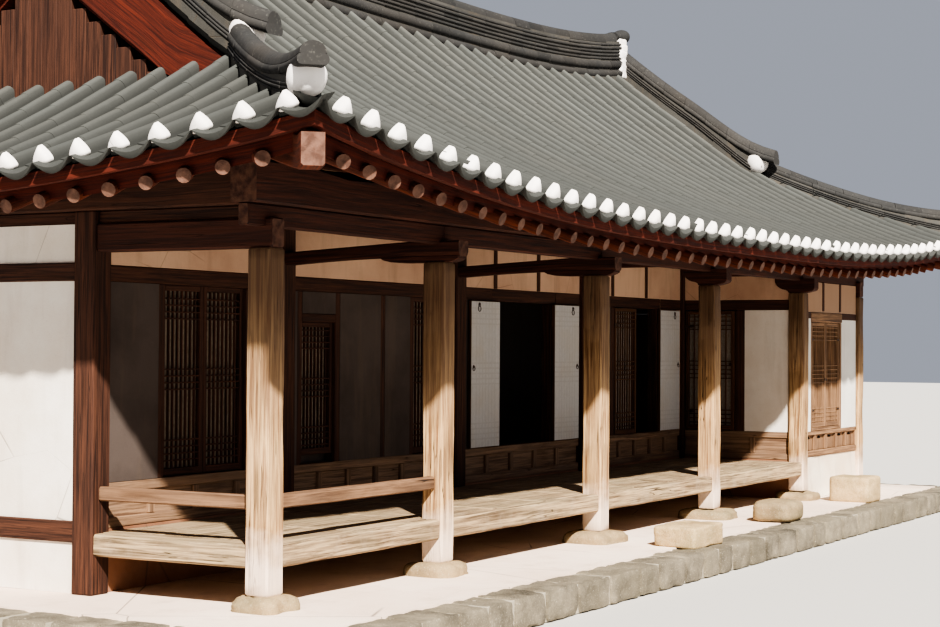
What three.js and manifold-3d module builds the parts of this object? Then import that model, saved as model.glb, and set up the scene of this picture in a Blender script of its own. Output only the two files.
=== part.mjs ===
// A five-bay hanok house: a low stone plinth, square timber columns, an open veranda with three
// papered door openings behind it, plaster walls and a hip-and-gable tile roof with curved eaves.
// Millimetres, +Z up. The front faces -Y. The origin is under the middle of the roof, at the
// bottom of the plinth.
import * as THREE from "three";
import { mergeVertices } from "three/addons/utils/BufferGeometryUtils.js";
import Module from "manifold-3d";

const wasm = await Module();
wasm.setup();

// Plan: bays from left to right, and the rows of columns from front to rear.
const BAYS = [2260, 2810, 2700, 2740, 2090];
const COLUMN = 190;
const HALF = COLUMN / 2;
const FRONT_Y = -2800;
const INNER_Y = -1300;
const MIDDLE_Y = 750;
const REAR_Y = 2800;
const LINES = BAYS.reduce((xs, bay) => [...xs, xs.at(-1) + bay], [-BAYS.reduce((a, b) => a + b) / 2]);
const [LEFT_X, LINE_2, LINE_3, LINE_4, LINE_5, RIGHT_X] = LINES;

// Levels above the bottom of the plinth.
const PLINTH_Z = 240;
const FOOT_Z = 340;
const VERANDA_Z = 675;
const FLOOR_Z = 690;
const SILL_Z = 1015;
const HEAD_Z = 2440;
const COLUMN_TOP_Z = 2640;
const BEAM_TOP_Z = 2840;
const PLATE_Z = 2780;
const PURLIN_Z = 2930;

// Walls: the outer face lies behind the columns' faces, and the plaster runs on behind them.
const FACE_IN = 45;
const SKIN = 15;
const FIT = 0.3;

// Roof: half its length and depth at the middle of each eave, and how its corners sweep.
const OVERHANG = 1120;
const EAVE_X = RIGHT_X + HALF + OVERHANG;
const EAVE_Y = REAR_Y + HALF + OVERHANG;
const EAVE_Z = 3000;
const RIDGE_Z = 5340;
const CORNER_RISE = 430;
const CORNER_FLARE = 100;
const FLARE_DEPTH = 1800;
const LOW_SLOPE = 0.58;
const GABLE_X = 5470;
const HIP_IN = EAVE_X - GABLE_X;
const RIDGE_HALF = 140;

// Rafters: their tips, their seats on the purlins, and the boards over them.
const RAFTER_R = 52;
const RAFTER_STEP = 290;
const TIP_IN = 200;
const TIP_Z = 2770;
const RAFTER_SLOPE = 0.38;
const BOARD_RISE = 45;
const FAN_X = RIGHT_X + FRONT_Y - INNER_Y;
const HIP_RAFTER = { half: 75, depth: 200, below: 48, inner: 160 };

// Door leaves: they hang at the outer face of the wall and fold back flat against it.
const LEAF = { width: 575, thick: 36, proud: 8, side: 6, meet: 8, sill: 6 };
const DOORWAY = 2 * (LEAF.width + LEAF.side) + LEAF.meet;
const SIDE_LEAF_WIDTH = 620;
const SIDE_HINGE_Y = INNER_Y - HALF - 7;

const FINISH = {
  column: new THREE.MeshStandardMaterial({ color: 0x8a7058, roughness: 0.85, metalness: 0 }),
  timber: new THREE.MeshStandardMaterial({ color: 0x5a3f2e, roughness: 0.85, metalness: 0 }),
  boards: new THREE.MeshStandardMaterial({ color: 0x8c7a68, roughness: 0.8, metalness: 0 }),
  lattice: new THREE.MeshStandardMaterial({ color: 0x6a4e39, roughness: 0.8, metalness: 0 }),
  paper: new THREE.MeshStandardMaterial({ color: 0xe8e6e2, roughness: 0.9, metalness: 0 }),
  plaster: new THREE.MeshStandardMaterial({ color: 0xd9cbb4, roughness: 0.95, metalness: 0 }),
  cement: new THREE.MeshStandardMaterial({ color: 0xcdbcae, roughness: 0.95, metalness: 0 }),
  stone: new THREE.MeshStandardMaterial({ color: 0xa89c88, roughness: 0.95, metalness: 0 }),
  tile: new THREE.MeshStandardMaterial({ color: 0x5f6262, roughness: 0.7, metalness: 0 }),
};

const house = new THREE.Group();

// Solids: a closed indexed surface becomes a solid that faces out, whichever way it was wound.
function toSolid(positions, triangles) {
  const make = (index) =>
    new wasm.Manifold(
      new wasm.Mesh({
        numProp: 3,
        vertProperties: new Float32Array(positions),
        triVerts: new Uint32Array(index),
      }),
    );
  const made = make(triangles);
  if (made.volume() > 0) return made;
  const turned = triangles.slice();
  for (let i = 0; i < turned.length; i += 3) {
    [turned[i + 1], turned[i + 2]] = [turned[i + 2], turned[i + 1]];
  }
  return make(turned);
}

function fromGeometry(geometry) {
  geometry.deleteAttribute("normal");
  geometry.deleteAttribute("uv");
  const merged = mergeVertices(geometry, 1e-3);
  return toSolid(Array.from(merged.attributes.position.array), Array.from(merged.index.array));
}

function block(x, y, z) {
  const [width, depth, height] = [x, y, z].map(([low, high]) => high - low);
  const box = new THREE.BoxGeometry(width, depth, height);
  box.translate((x[0] + x[1]) / 2, (y[0] + y[1]) / 2, (z[0] + z[1]) / 2);
  return fromGeometry(box);
}

// An outline in the two other axes, taken in their order x, y, z, and run along one axis.
const AXES = {
  x: new THREE.Matrix4().set(0, 0, 1, 0, 1, 0, 0, 0, 0, 1, 0, 0, 0, 0, 0, 1),
  y: new THREE.Matrix4().set(1, 0, 0, 0, 0, 0, 1, 0, 0, 1, 0, 0, 0, 0, 0, 1),
  z: new THREE.Matrix4(),
};

function profile(axis, outline, low, high) {
  const shape = new THREE.Shape(outline.map(([a, b]) => new THREE.Vector2(a, b)));
  const made = new THREE.ExtrudeGeometry(shape, { depth: high - low, bevelEnabled: false });
  made.translate(0, 0, low);
  made.applyMatrix4(AXES[axis]);
  return fromGeometry(made);
}

// The face inside a ring of points, as triangles that turn the way the ring does.
function capOf(ring) {
  const points = ring.map((p) => new THREE.Vector3(...p));
  const normal = points.reduce(
    (sum, p, i) => sum.add(new THREE.Vector3().crossVectors(p, points[(i + 1) % points.length])),
    new THREE.Vector3(),
  );
  const across = new THREE.Vector3().subVectors(points[1], points[0]).normalize();
  const up = new THREE.Vector3().crossVectors(normal.normalize(), across);
  const flat = points.map((p) => new THREE.Vector2(p.dot(across), p.dot(up)));
  return THREE.ShapeUtils.triangulateShape(flat, []).map((corners) =>
    THREE.ShapeUtils.area(corners.map((i) => flat[i])) > 0 ? corners : corners.reverse(),
  );
}

// A skin over rings of points that all have the same count, closed by a flat face at each end.
function loft(rings) {
  const count = rings[0].length;
  const triangles = [];
  for (let i = 0; i + 1 < rings.length; i++) {
    for (let j = 0; j < count; j++) {
      const a = i * count + j;
      const b = i * count + ((j + 1) % count);
      triangles.push(a, b, b + count, a, b + count, a + count);
    }
  }
  const last = (rings.length - 1) * count;
  capOf(rings[0]).forEach(([i, j, k]) => triangles.push(k, j, i));
  capOf(rings.at(-1)).forEach((corners) => triangles.push(...corners.map((i) => last + i)));
  return toSolid(rings.flat(2), triangles);
}

// A slab between two height fields over the same grid of plan points.
function fieldSlab(rows) {
  const [down, across] = [rows.length, rows[0].length];
  const positions = [];
  for (const side of ["top", "bottom"]) {
    rows.flat().forEach((p) => positions.push(p.x, p.y, p[side]));
  }
  const at = (i, j, side) => side * down * across + i * across + j;
  const triangles = [];
  const quad = (a, b, c, d) => triangles.push(a, b, c, a, c, d);
  for (let i = 0; i + 1 < down; i++) {
    for (let j = 0; j + 1 < across; j++) {
      quad(at(i, j, 0), at(i, j + 1, 0), at(i + 1, j + 1, 0), at(i + 1, j, 0));
      quad(at(i, j, 1), at(i + 1, j, 1), at(i + 1, j + 1, 1), at(i, j + 1, 1));
    }
  }
  for (let j = 0; j + 1 < across; j++) {
    quad(at(0, j + 1, 0), at(0, j, 0), at(0, j, 1), at(0, j + 1, 1));
    quad(at(down - 1, j, 0), at(down - 1, j + 1, 0), at(down - 1, j + 1, 1), at(down - 1, j, 1));
  }
  for (let i = 0; i + 1 < down; i++) {
    quad(at(i, 0, 0), at(i + 1, 0, 0), at(i + 1, 0, 1), at(i, 0, 1));
    quad(at(i + 1, across - 1, 0), at(i, across - 1, 0), at(i, across - 1, 1), at(i + 1, across - 1, 1));
  }
  return toSolid(positions, triangles);
}

const join = (...solids) => solids.flat().reduce((a, b) => a.add(b));
const cut = (solid, ...tools) => tools.flat().reduce((a, b) => a.subtract(b), solid);

function add(name, finish, solid, parent = house) {
  const made = solid.getMesh();
  const geometry = new THREE.BufferGeometry();
  const points = new Float32Array(made.numVert * 3);
  for (let i = 0; i < made.numVert; i++) {
    points.set(made.vertProperties.subarray(i * made.numProp, i * made.numProp + 3), i * 3);
  }
  geometry.setAttribute("position", new THREE.BufferAttribute(points, 3));
  geometry.setIndex(new THREE.BufferAttribute(made.triVerts, 1));
  const mesh = new THREE.Mesh(geometry, FINISH[finish]);
  mesh.name = name;
  parent.add(mesh);
  return solid;
}

// Columns, also as the slightly larger posts that walls and floors are notched for.
const columnBlock = (x, y, low, high, spare = 0) =>
  block([x - HALF - spare, x + HALF + spare], [y - HALF - spare, y + HALF + spare], [low, high]);
const notch = (x, y) => columnBlock(x, y, 0, RIDGE_Z, FIT);

// Roof surfaces. t is how far in from its own eave a point lies, d from the eave round the corner.
const sweep = (d) => Math.max(0, 1 - d / EAVE_X) ** 3;

function tileZ(t, d) {
  const s = t / EAVE_Y;
  return EAVE_Z + CORNER_RISE * sweep(d) + (RIDGE_Z - EAVE_Z) * (LOW_SLOPE * s + (1 - LOW_SLOPE) * s * s);
}

const raftersTopZ = (t) => TIP_Z + RAFTER_R * Math.hypot(1, RAFTER_SLOPE) + RAFTER_SLOPE * (t - TIP_IN);
const PURLIN_IN = EAVE_Y + INNER_Y;
const DEEPEST = tileZ(PURLIN_IN, EAVE_X) - raftersTopZ(PURLIN_IN) - BOARD_RISE;

function soffitZ(t, d) {
  const boards = raftersTopZ(Math.max(t, TIP_IN)) + BOARD_RISE + CORNER_RISE * sweep(d);
  return t > PURLIN_IN ? tileZ(t, d) - DEEPEST : boards;
}

// The eaves bow outwards towards the corners.
function flare(x, y) {
  const bow = (own, half, other, otherHalf) =>
    CORNER_FLARE * Math.abs(other / otherHalf) ** 3 * Math.max(0, 1 - (half - Math.abs(own)) / FLARE_DEPTH);
  return [
    x + Math.sign(x) * bow(x, EAVE_X, y, EAVE_Y),
    y + Math.sign(y) * bow(y, EAVE_Y, x, EAVE_X),
  ];
}

function roofPoint(x, y, t, d) {
  const [flaredX, flaredY] = flare(x, y);
  return { x: flaredX, y: flaredY, top: tileZ(t, d), bottom: soffitZ(t, d) };
}

// Stations along a slope, closer together towards its swept corners.
const spread = (count) =>
  Array.from({ length: 2 * count + 1 }, (_, i) => Math.sin(((i - count) / count) * (Math.PI / 2)));

const ROWS = [0, TIP_IN, 700, 1300, HIP_IN, PURLIN_IN, 3300, EAVE_Y - RIDGE_HALF];

function longSlope(side) {
  return fieldSlab(
    ROWS.map((t) => {
      const reach = Math.max(EAVE_X - t, GABLE_X) - FIT / 2;
      return spread(7).map((u) => roofPoint(u * reach, side * (EAVE_Y - t), t, EAVE_X - Math.abs(u * reach)));
    }),
  );
}

function endSlope(side) {
  return fieldSlab(
    ROWS.filter((t) => t <= HIP_IN).map((t) =>
      spread(5).map((u) => {
        const along = u * (EAVE_Y - t - FIT / 2);
        return roofPoint(side * (EAVE_X - t), along, t, EAVE_Y - Math.abs(along));
      }),
    ),
  );
}

const slopes = {
  front: longSlope(-1),
  rear: longSlope(1),
  left: endSlope(-1),
  right: endSlope(1),
};
Object.entries(slopes).forEach(([side, solid]) => add(`roof_${side}`, "tile", solid));
const lifted = [
  slopes.front.translate([0, FIT, 2 * FIT]),
  slopes.rear.translate([0, -FIT, 2 * FIT]),
  slopes.left.translate([FIT, 0, 2 * FIT]),
  slopes.right.translate([-FIT, 0, 2 * FIT]),
];

// Ridges: stacked thin tiles under a rounded cap, drawn as one stepped section along a path.
// Each station holds its plan place, the direction across it, and the levels of foot and top.
const RIDGE_STEPS = [
  [1, 0],
  [1, 0.42],
  [0.82, 0.42],
  [0.82, 0.74],
  [0.55, 1],
];

function ridgeRing({ x, y, across, foot, top, half }) {
  const steps = RIDGE_STEPS.map(([out, up]) => [out * half, foot + up * (top - foot)]);
  const mirrored = steps.map(([out, z]) => [-out, z]).reverse();
  return [...steps, ...mirrored].map(([out, z]) => [x + out * across[0], y + out * across[1], z]);
}

const RIDGE_RISE = { middle: 360, end: 470, tip: 610, tipLength: 700 };
const RIDGE_SUNK = 200;

function mainRidge() {
  const end = GABLE_X - 60;
  const stations = [-1, -0.93, -0.87, -0.7, -0.4, 0, 0.4, 0.7, 0.87, 0.93, 1];
  return loft(
    stations.map((u) => {
      const x = u * end;
      const crest = tileZ(EAVE_Y, EAVE_X - Math.abs(x));
      const swept = (RIDGE_RISE.end - RIDGE_RISE.middle) * u * u;
      const tip = Math.max(0, 1 - (end - Math.abs(x)) / RIDGE_RISE.tipLength) ** 2;
      return ridgeRing({
        x,
        y: 0,
        across: [0, 1],
        foot: crest - RIDGE_SUNK,
        top: crest + RIDGE_RISE.middle + swept + (RIDGE_RISE.tip - RIDGE_RISE.end) * tip,
        half: RIDGE_HALF - FIT,
      });
    }),
  );
}

// A corner ridge comes down beside the gable's verge and then runs out along the hip.
const VERGE_RIDGE = { x: GABLE_X - 175, half: 115, rise: 300, tip: 90, overlap: 160 };
const HIP_RIDGE = { half: 105, rise: 210, tip: 110, end: 120 };

function cornerRidge(sideX, sideY) {
  const ring = (x, y, across, t, rise, half, d) =>
    ridgeRing({
      x: sideX * x,
      y: sideY * y,
      across,
      foot: tileZ(t, d) - 90,
      top: tileZ(t, d) + rise,
      half,
    });
  const verge = [RIDGE_HALF - 40, 700, 1200, 1600, EAVE_Y - HIP_IN - 60, EAVE_Y - HIP_IN + VERGE_RIDGE.overlap];
  const down = loft(
    verge.map((y, i) => {
      const lift = VERGE_RIDGE.tip * (i / (verge.length - 1)) ** 4;
      const t = Math.max(EAVE_Y - y, HIP_IN - VERGE_RIDGE.overlap);
      return ring(VERGE_RIDGE.x, y, [1, 0], t, VERGE_RIDGE.rise + lift, VERGE_RIDGE.half, HIP_IN);
    }),
  );
  const across = [sideX * Math.SQRT1_2, -sideY * Math.SQRT1_2];
  const hip = [HIP_IN + 60, HIP_IN - 350, 1150, 650, 300, HIP_RIDGE.end];
  const out = loft(
    hip.map((t, i) => {
      const [x, y] = flare(EAVE_X - t, EAVE_Y - t);
      const lift = HIP_RIDGE.tip * (i / (hip.length - 1)) ** 5;
      return ring(x, y, across, t, HIP_RIDGE.rise + lift, HIP_RIDGE.half, t);
    }),
  );
  return cut(join(down, out), lifted);
}

const CORNERS = [-1, 1].flatMap((sideX) => [-1, 1].map((sideY) => [sideX, sideY]));
add("roof_ridges", "tile", join(mainRidge(), ...CORNERS.map(([sideX, sideY]) => cornerRidge(sideX, sideY))));

// Gables: a wall under the verges, and boards that hang along them outside.
const GABLE_WALL = { thick: 130, low: -290, gap: 1.2, sunk: 60 };
const BARGEBOARD = { thick: 45, below: 120, depth: 520, lap: 10 };

function gable(side) {
  const foot = tileZ(HIP_IN, EAVE_Y) + GABLE_WALL.low;
  const inner = ROWS.filter((t) => t >= HIP_IN).map((t) => EAVE_Y - t);
  const along = [...inner.map((y) => -y), ...inner.reverse()];
  const innerD = HIP_IN + GABLE_WALL.thick;
  const under = (level, drop) => along.map((y) => [y, level(EAVE_Y - Math.abs(y), innerD) - drop]);
  const wall = profile(
    "x",
    [[along.at(-1), foot], [along[0], foot], ...under(soffitZ, GABLE_WALL.gap)],
    GABLE_X - GABLE_WALL.thick,
    GABLE_X + BARGEBOARD.lap,
  );
  const top = under(tileZ, BARGEBOARD.below);
  const bottom = under(tileZ, BARGEBOARD.below + BARGEBOARD.depth).reverse();
  const boards = profile("x", [...top, ...bottom], GABLE_X + FIT, GABLE_X + BARGEBOARD.thick);
  const below = profile(
    "x",
    [
      [along[0] - 100, 0],
      ...along.map((y) => [y, tileZ(HIP_IN, EAVE_Y - Math.abs(y)) - GABLE_WALL.sunk]),
      [along.at(-1) + 100, 0],
    ],
    GABLE_X - 2 * GABLE_WALL.thick,
    GABLE_X + 2 * GABLE_WALL.thick,
  );
  const made = cut(join(wall, boards), below);
  return cut(side < 0 ? made.mirror([1, 0, 0]) : made, lifted);
}

add("gable_left", "timber", gable(-1));
add("gable_right", "timber", gable(1));

// Rafters: each is a five-sided pole. They are laid square to the eave and fan out at the corners,
// and a batten over their tips joins those of one side.
const POLE_SIDES = 5;

function pole(from, to, radius) {
  const way = Math.atan2(to[1] - from[1], to[0] - from[0]);
  const ring = ([x, y, z]) =>
    Array.from({ length: POLE_SIDES }, (_, k) => {
      const angle = (k * 2 * Math.PI) / POLE_SIDES + Math.PI / 2;
      const out = radius * Math.cos(angle);
      return [x - out * Math.sin(way), y + out * Math.cos(way), z + radius * Math.sin(angle)];
    });
  return loft([ring(from), ring(to)]);
}

// One side of the roof seen in its own frame: along the eave, and t in from it.
const SIDES = {
  front: { half: EAVE_X, place: (along, t) => [along, -(EAVE_Y - t)], headIn: PURLIN_IN, short: 110, stations: 7 },
  rear: { half: EAVE_X, place: (along, t) => [along, EAVE_Y - t], headIn: 1700, short: 110, stations: 7 },
  left: { half: EAVE_Y, place: (along, t) => [-(EAVE_X - t), along], headIn: 1700, short: 60, stations: 5 },
  right: { half: EAVE_Y, place: (along, t) => [EAVE_X - t, along], headIn: 1700, short: 60, stations: 5 },
};
const AXIS_DROP = BOARD_RISE + RAFTER_R * Math.hypot(1, RAFTER_SLOPE);
const FAN = { first: 2400, spread: 900, clear: 210, sag: 60, sagOver: 600, seat: 1.2 };
const fanSag = (along, half) => FAN.sag * Math.min(1, Math.max(0, (Math.abs(along) - half + PURLIN_IN) / FAN.sagOver));

// A rafter from its tip to its head, let down until it clears the curved boards above it.
function rafter({ half, place }, tip, head) {
  const point = (k) => [tip[0] + (head[0] - tip[0]) * k, tip[1] + (head[1] - tip[1]) * k];
  const axisZ = ([along, t]) => soffitZ(t, half - Math.abs(along)) - AXIS_DROP;
  const [tipZ, headZ] = [axisZ(tip), axisZ(head)];
  const spare = [0, 0.2, 0.4, 0.6, 0.8, 1].map((k) => axisZ(point(k)) - (tipZ + (headZ - tipZ) * k));
  const down = Math.min(...spare);
  const end = ([along, t], z) => [...flare(...place(along, t)), z + down];
  return pole(end(tip, tipZ), end(head, headZ), RAFTER_R);
}

function raftersOf(side) {
  const straight = side.half - PURLIN_IN;
  const fanLength = PURLIN_IN - TIP_IN - HIP_RAFTER.half - RAFTER_R;
  const count = Math.floor((straight + fanLength) / RAFTER_STEP);
  return Array.from({ length: 2 * count + 1 }, (_, i) => {
    const along = (i - count) * RAFTER_STEP;
    const share = (Math.abs(along) - straight) / PURLIN_IN;
    if (share <= 0) return rafter(side, [along, TIP_IN], [along, side.headIn]);
    const headIn = FAN.first - FAN.spread * share;
    return rafter(side, [along, TIP_IN], [Math.sign(along) * (side.half - headIn - FAN.clear), headIn]);
  });
}

const BATTEN = { from: TIP_IN + 15, to: TIP_IN + 75, bite: 28, gap: 6 };

function batten({ half, place, short, stations }) {
  return loft(
    spread(stations).map((u) => {
      const corner = (t, level) => {
        const along = Math.sign(u) * Math.min(Math.abs(u) * (half - t), half - t - short);
        return [...flare(...place(along, t)), level(t, half - Math.abs(along), along)];
      };
      const low = (t, d, along) => soffitZ(t, d) - BOARD_RISE - BATTEN.bite - fanSag(along, half);
      const high = (t, d) => soffitZ(t, d) - FIT - BATTEN.gap * Math.abs(u);
      return [corner(BATTEN.from, low), corner(BATTEN.to, low), corner(BATTEN.to, high), corner(BATTEN.from, high)];
    }),
  );
}

// The hip rafters curve up under the hips and carry the corners.
function hipRafter(sideX, sideY, spare = 0) {
  const across = [Math.SQRT1_2, -sideX * sideY * Math.SQRT1_2];
  return loft(
    [130, TIP_IN, 700, 1300, PURLIN_IN - HIP_RAFTER.inner].map((t) => {
      const [x, y] = flare(sideX * (EAVE_X - t), sideY * (EAVE_Y - t));
      const top = soffitZ(t, t) - HIP_RAFTER.below + spare;
      const half = HIP_RAFTER.half + spare;
      const low = top - HIP_RAFTER.depth - 2 * spare;
      return [[-half, low], [half, low], [half, top], [-half, top]].map(([out, z]) => [
        x + out * across[0],
        y + out * across[1],
        z,
      ]);
    }),
  );
}

const hipNotches = CORNERS.map(([sideX, sideY]) => hipRafter(sideX, sideY, FIT));
for (const name of ["front", "rear"]) {
  add(`rafters_${name}`, "timber", join(raftersOf(SIDES[name]), batten(SIDES[name])));
}
for (const [name, sideX] of [["left", -1], ["right", 1]]) {
  const hips = [-1, 1].map((sideY) => hipRafter(sideX, sideY));
  add(`rafters_${name}`, "timber", join(raftersOf(SIDES[name]), batten(SIDES[name]), hips));
}

// Plates and purlins over the columns. A purlin's top is hewn to the rafters' slope and curves up
// with them towards the corners.
const PURLIN_HALF = 105;
const PLATE_HALF = 45;

// Rafters rest on the purlins; towards the ends the purlins are eased down under the curve.
const SEAT_EASE = 0.0018;
const POLE_FLAT = (1 + Math.cos(Math.PI / POLE_SIDES)) * (AXIS_DROP - BOARD_RISE);
const rafterFootZ = (t, d) => raftersTopZ(t) + CORNER_RISE * sweep(d) - POLE_FLAT;
const even = (count) => Array.from({ length: 2 * count + 1 }, (_, i) => (i - count) / count);

function purlin({ half, place }, t, reach, bottomZ) {
  return loft(
    even(6).map((u) => {
      const along = u * reach;
      const d = half - Math.abs(along);
      const eased = FIT + SEAT_EASE * Math.abs(along) + FAN.seat * fanSag(along, half);
      const top = (at) => Math.min(rafterFootZ(at, d), rafterFootZ(d, at)) - eased;
      return [
        [t - PURLIN_HALF, bottomZ],
        [t + PURLIN_HALF, bottomZ],
        [t + PURLIN_HALF, top(t + PURLIN_HALF)],
        [t - PURLIN_HALF, top(t - PURLIN_HALF)],
      ].map(([at, z]) => [...place(along, at), z]);
    }),
  );
}

const EAVE_IN = EAVE_Y - REAR_Y;
const PURLIN_TAIL = 260;

// Beams cross the veranda from the inner wall to the front columns. The two at its left are low and
// thin towards the wall, the next two are high, and each of these rests on a bracket on its column.
// The beams at both ends of the house carry the side plates.
const BEAM = { half: 75, tail: 120, front: 2805, low: 2740, high: [2840, 2990], step: 22 };
const [BEAM_FACE, BEAM_BACK] = [FRONT_Y - HALF - FIT, INNER_Y - HALF - FIT];
const BEAM_FOOT_Z = COLUMN_TOP_Z + FIT;
const BEAM_TAIL = [
  [BEAM_FACE - BEAM.tail, BEAM.front],
  [BEAM_FACE - BEAM.tail, BEAM_FOOT_Z + 45],
  [BEAM_FACE - BEAM.tail + 30, BEAM_FOOT_Z + 20],
  [BEAM_FACE, BEAM_FOOT_Z],
];
const LOW_BEAM = [
  ...BEAM_TAIL,
  [FRONT_Y + 480, BEAM_FOOT_Z],
  [FRONT_Y + 560, BEAM_FOOT_Z + BEAM.step],
  [BEAM_BACK, BEAM_FOOT_Z],
  [BEAM_BACK, BEAM.low],
  [FRONT_Y + 480, BEAM.front],
];
const BRACKET = [
  [FRONT_Y + HALF, BEAM_FOOT_Z],
  [FRONT_Y + HALF + 30, BEAM_FOOT_Z + 30],
  [FRONT_Y + HALF + 110, BEAM_FOOT_Z + 52],
  [FRONT_Y + HALF + 170, BEAM_FOOT_Z + 100],
  [FRONT_Y + HALF + 185, BEAM.high[0]],
];
const HIGH_BEAM = [
  ...BEAM_TAIL,
  ...BRACKET,
  [BEAM_BACK, BEAM.high[0]],
  [BEAM_BACK, BEAM.high[1]],
  [FRONT_Y, BEAM.high[1]],
  [FRONT_Y, BEAM.front],
];
const END_BEAM = [
  [BEAM_FACE, BEAM_FOOT_Z],
  [BEAM_BACK, BEAM_FOOT_Z],
  [BEAM_BACK, BEAM_TOP_Z],
  [BEAM_FACE, BEAM_TOP_Z],
];
const crossBeams = [END_BEAM, LOW_BEAM, LOW_BEAM, HIGH_BEAM, HIGH_BEAM, END_BEAM].map((outline, i) =>
  profile("x", outline, LINES[i] - BEAM.half, LINES[i] + BEAM.half),
);

const overFront = join(
  crossBeams,
  block([LEFT_X - PURLIN_TAIL, RIGHT_X + PURLIN_TAIL], [FRONT_Y - PLATE_HALF, FRONT_Y + PLATE_HALF], [PLATE_Z, PURLIN_Z]),
  purlin(SIDES.front, EAVE_IN, RIGHT_X + PURLIN_TAIL, PURLIN_Z),
);
add("front_beams", "timber", cut(overFront, hipNotches));

const INNER_PURLIN_Z = 3470;
const INNER_PURLIN_TAIL = 60;
add("inner_purlin", "timber", purlin(SIDES.front, PURLIN_IN, FAN_X + INNER_PURLIN_TAIL, INNER_PURLIN_Z));

// Front columns stand on natural stones, which are set into the plinth.
const PLINTH = { x: 7400, front: -3950, rear: 3950 };

function stone(x, y, width, depth, low, high, turn = 0) {
  const ring = (grow, z) =>
    Array.from({ length: 9 }, (_, i) => {
      const angle = (i / 9) * 2 * Math.PI + turn;
      const wobble = 1 + 0.05 * Math.sin(3 * i + turn * 7);
      const squared = 1 / Math.max(Math.abs(Math.cos(angle)), Math.abs(Math.sin(angle))) ** 0.5;
      const out = grow * wobble * squared;
      return [x + (out * width * Math.cos(angle)) / 2, y + (out * depth * Math.sin(angle)) / 2, z];
    });
  return loft([ring(0.97, low), ring(1, low + 0.6 * (high - low)), ring(0.86, high)]);
}

const FOOTING = [
  [380, 360, 0.3],
  [400, 380, 1.1],
  [560, 470, 2.3],
  [460, 420, 0.7],
  [380, 360, 1.9],
  [360, 340, 2.9],
];
const footing = (i, spare) =>
  stone(LINES[i], FRONT_Y, FOOTING[i][0] + spare, FOOTING[i][1] + spare, PLINTH_Z - 20, FOOT_Z, FOOTING[i][2]);
const footingNotches = LINES.map((_, i) => footing(i, 4).translate([0, 0, FIT]));
add(
  "plinth",
  "stone",
  join(
    block([-PLINTH.x, PLINTH.x], [PLINTH.front, PLINTH.rear], [0, PLINTH_Z]),
    LINES.map((_, i) => footing(i, 0)),
  ),
);

LINES.forEach((x, i) => add(`front_column_${i + 1}`, "column", columnBlock(x, FRONT_Y, FOOT_Z + FIT, COLUMN_TOP_Z)));
const INNER_LINES = [LINE_2, LINE_3, LINE_4, LINE_5];

// Stepping stones on the plinth, in front of the veranda.
const STEP_STONES = {
  step_stone_left: [-1000, -3600, 760, 430, 130, 0.2],
  step_stone_middle: [1560, -3500, 640, 430, 170, 1.2],
  step_stone_right: [4330, -3420, 680, 480, 280, 0.8],
};
for (const [name, [x, y, width, depth, height, turn]] of Object.entries(STEP_STONES)) {
  add(name, "stone", stone(x, y, width, depth, PLINTH_Z + FIT, PLINTH_Z + height, turn));
}

// Outer walls: timber frames with plaster between them, and closed lattice windows in the frames.
const WALL_OUT = HALF - FACE_IN;
const WALL_IN = HALF + SKIN;
const RAIL = { out: HALF - 20, depth: 110 };
const WINDOW = { width: 1100, sill: 1017, head: 2305, bar: 90 };

// A wall's timbers as boxes [along, out, z], where out is measured from the column line outwards.
function railsAndWindows(from, to, topZ, windows) {
  const depth = [RAIL.out - RAIL.depth, RAIL.out];
  const rails = [
    [[from, to], depth, [FLOOR_Z - 90, FLOOR_Z + 60]],
    [[from, to], depth, [HEAD_Z, HEAD_Z + 130]],
  ];
  const posts = windows.flatMap((middle) =>
    [-1, 1].map((side) => {
      const edge = middle + (side * WINDOW.width) / 2;
      const post = [edge, edge + side * WINDOW.bar].sort((a, b) => a - b);
      return [post, depth, [FLOOR_Z + 50, HEAD_Z + 10]];
    }),
  );
  const panes = windows.flatMap((middle) => {
    const across = [middle - WINDOW.width / 2 - 10, middle + WINDOW.width / 2 + 10];
    return [
      [across, [RAIL.out - 75, RAIL.out - 30], [WINDOW.sill, HEAD_Z + 10]],
      [across, depth, [WINDOW.sill - WINDOW.bar, WINDOW.sill + 10]],
    ];
  });
  const plate = [[from, to], [-PLATE_HALF, PLATE_HALF], [topZ, PURLIN_Z + 5]];
  return [...rails, ...posts, ...panes, plate];
}

// Window holes go right through the plaster.
const holes = (windows) =>
  windows.map((middle) => [
    [middle - WINDOW.width / 2 - 10, middle + WINDOW.width / 2 + 10],
    [-WALL_IN - SKIN, HALF],
    [WINDOW.sill, HEAD_Z],
  ]);

const grown = ([low, high], spare) => [low - spare, high + spare];

function placedBoxes(boxes, place, spare = 0) {
  return boxes.map(([along, out, z]) => place(grown(along, spare), grown(out, spare), grown(z, spare)));
}

const onRear = (along, out, z) => block(along, [REAR_Y + out[0], REAR_Y + out[1]], z);
const onLeft = (along, out, z) => block([LEFT_X - out[1], LEFT_X - out[0]], along, z);
const onRight = (along, out, z) => block([RIGHT_X + out[0], RIGHT_X + out[1]], along, z);

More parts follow.
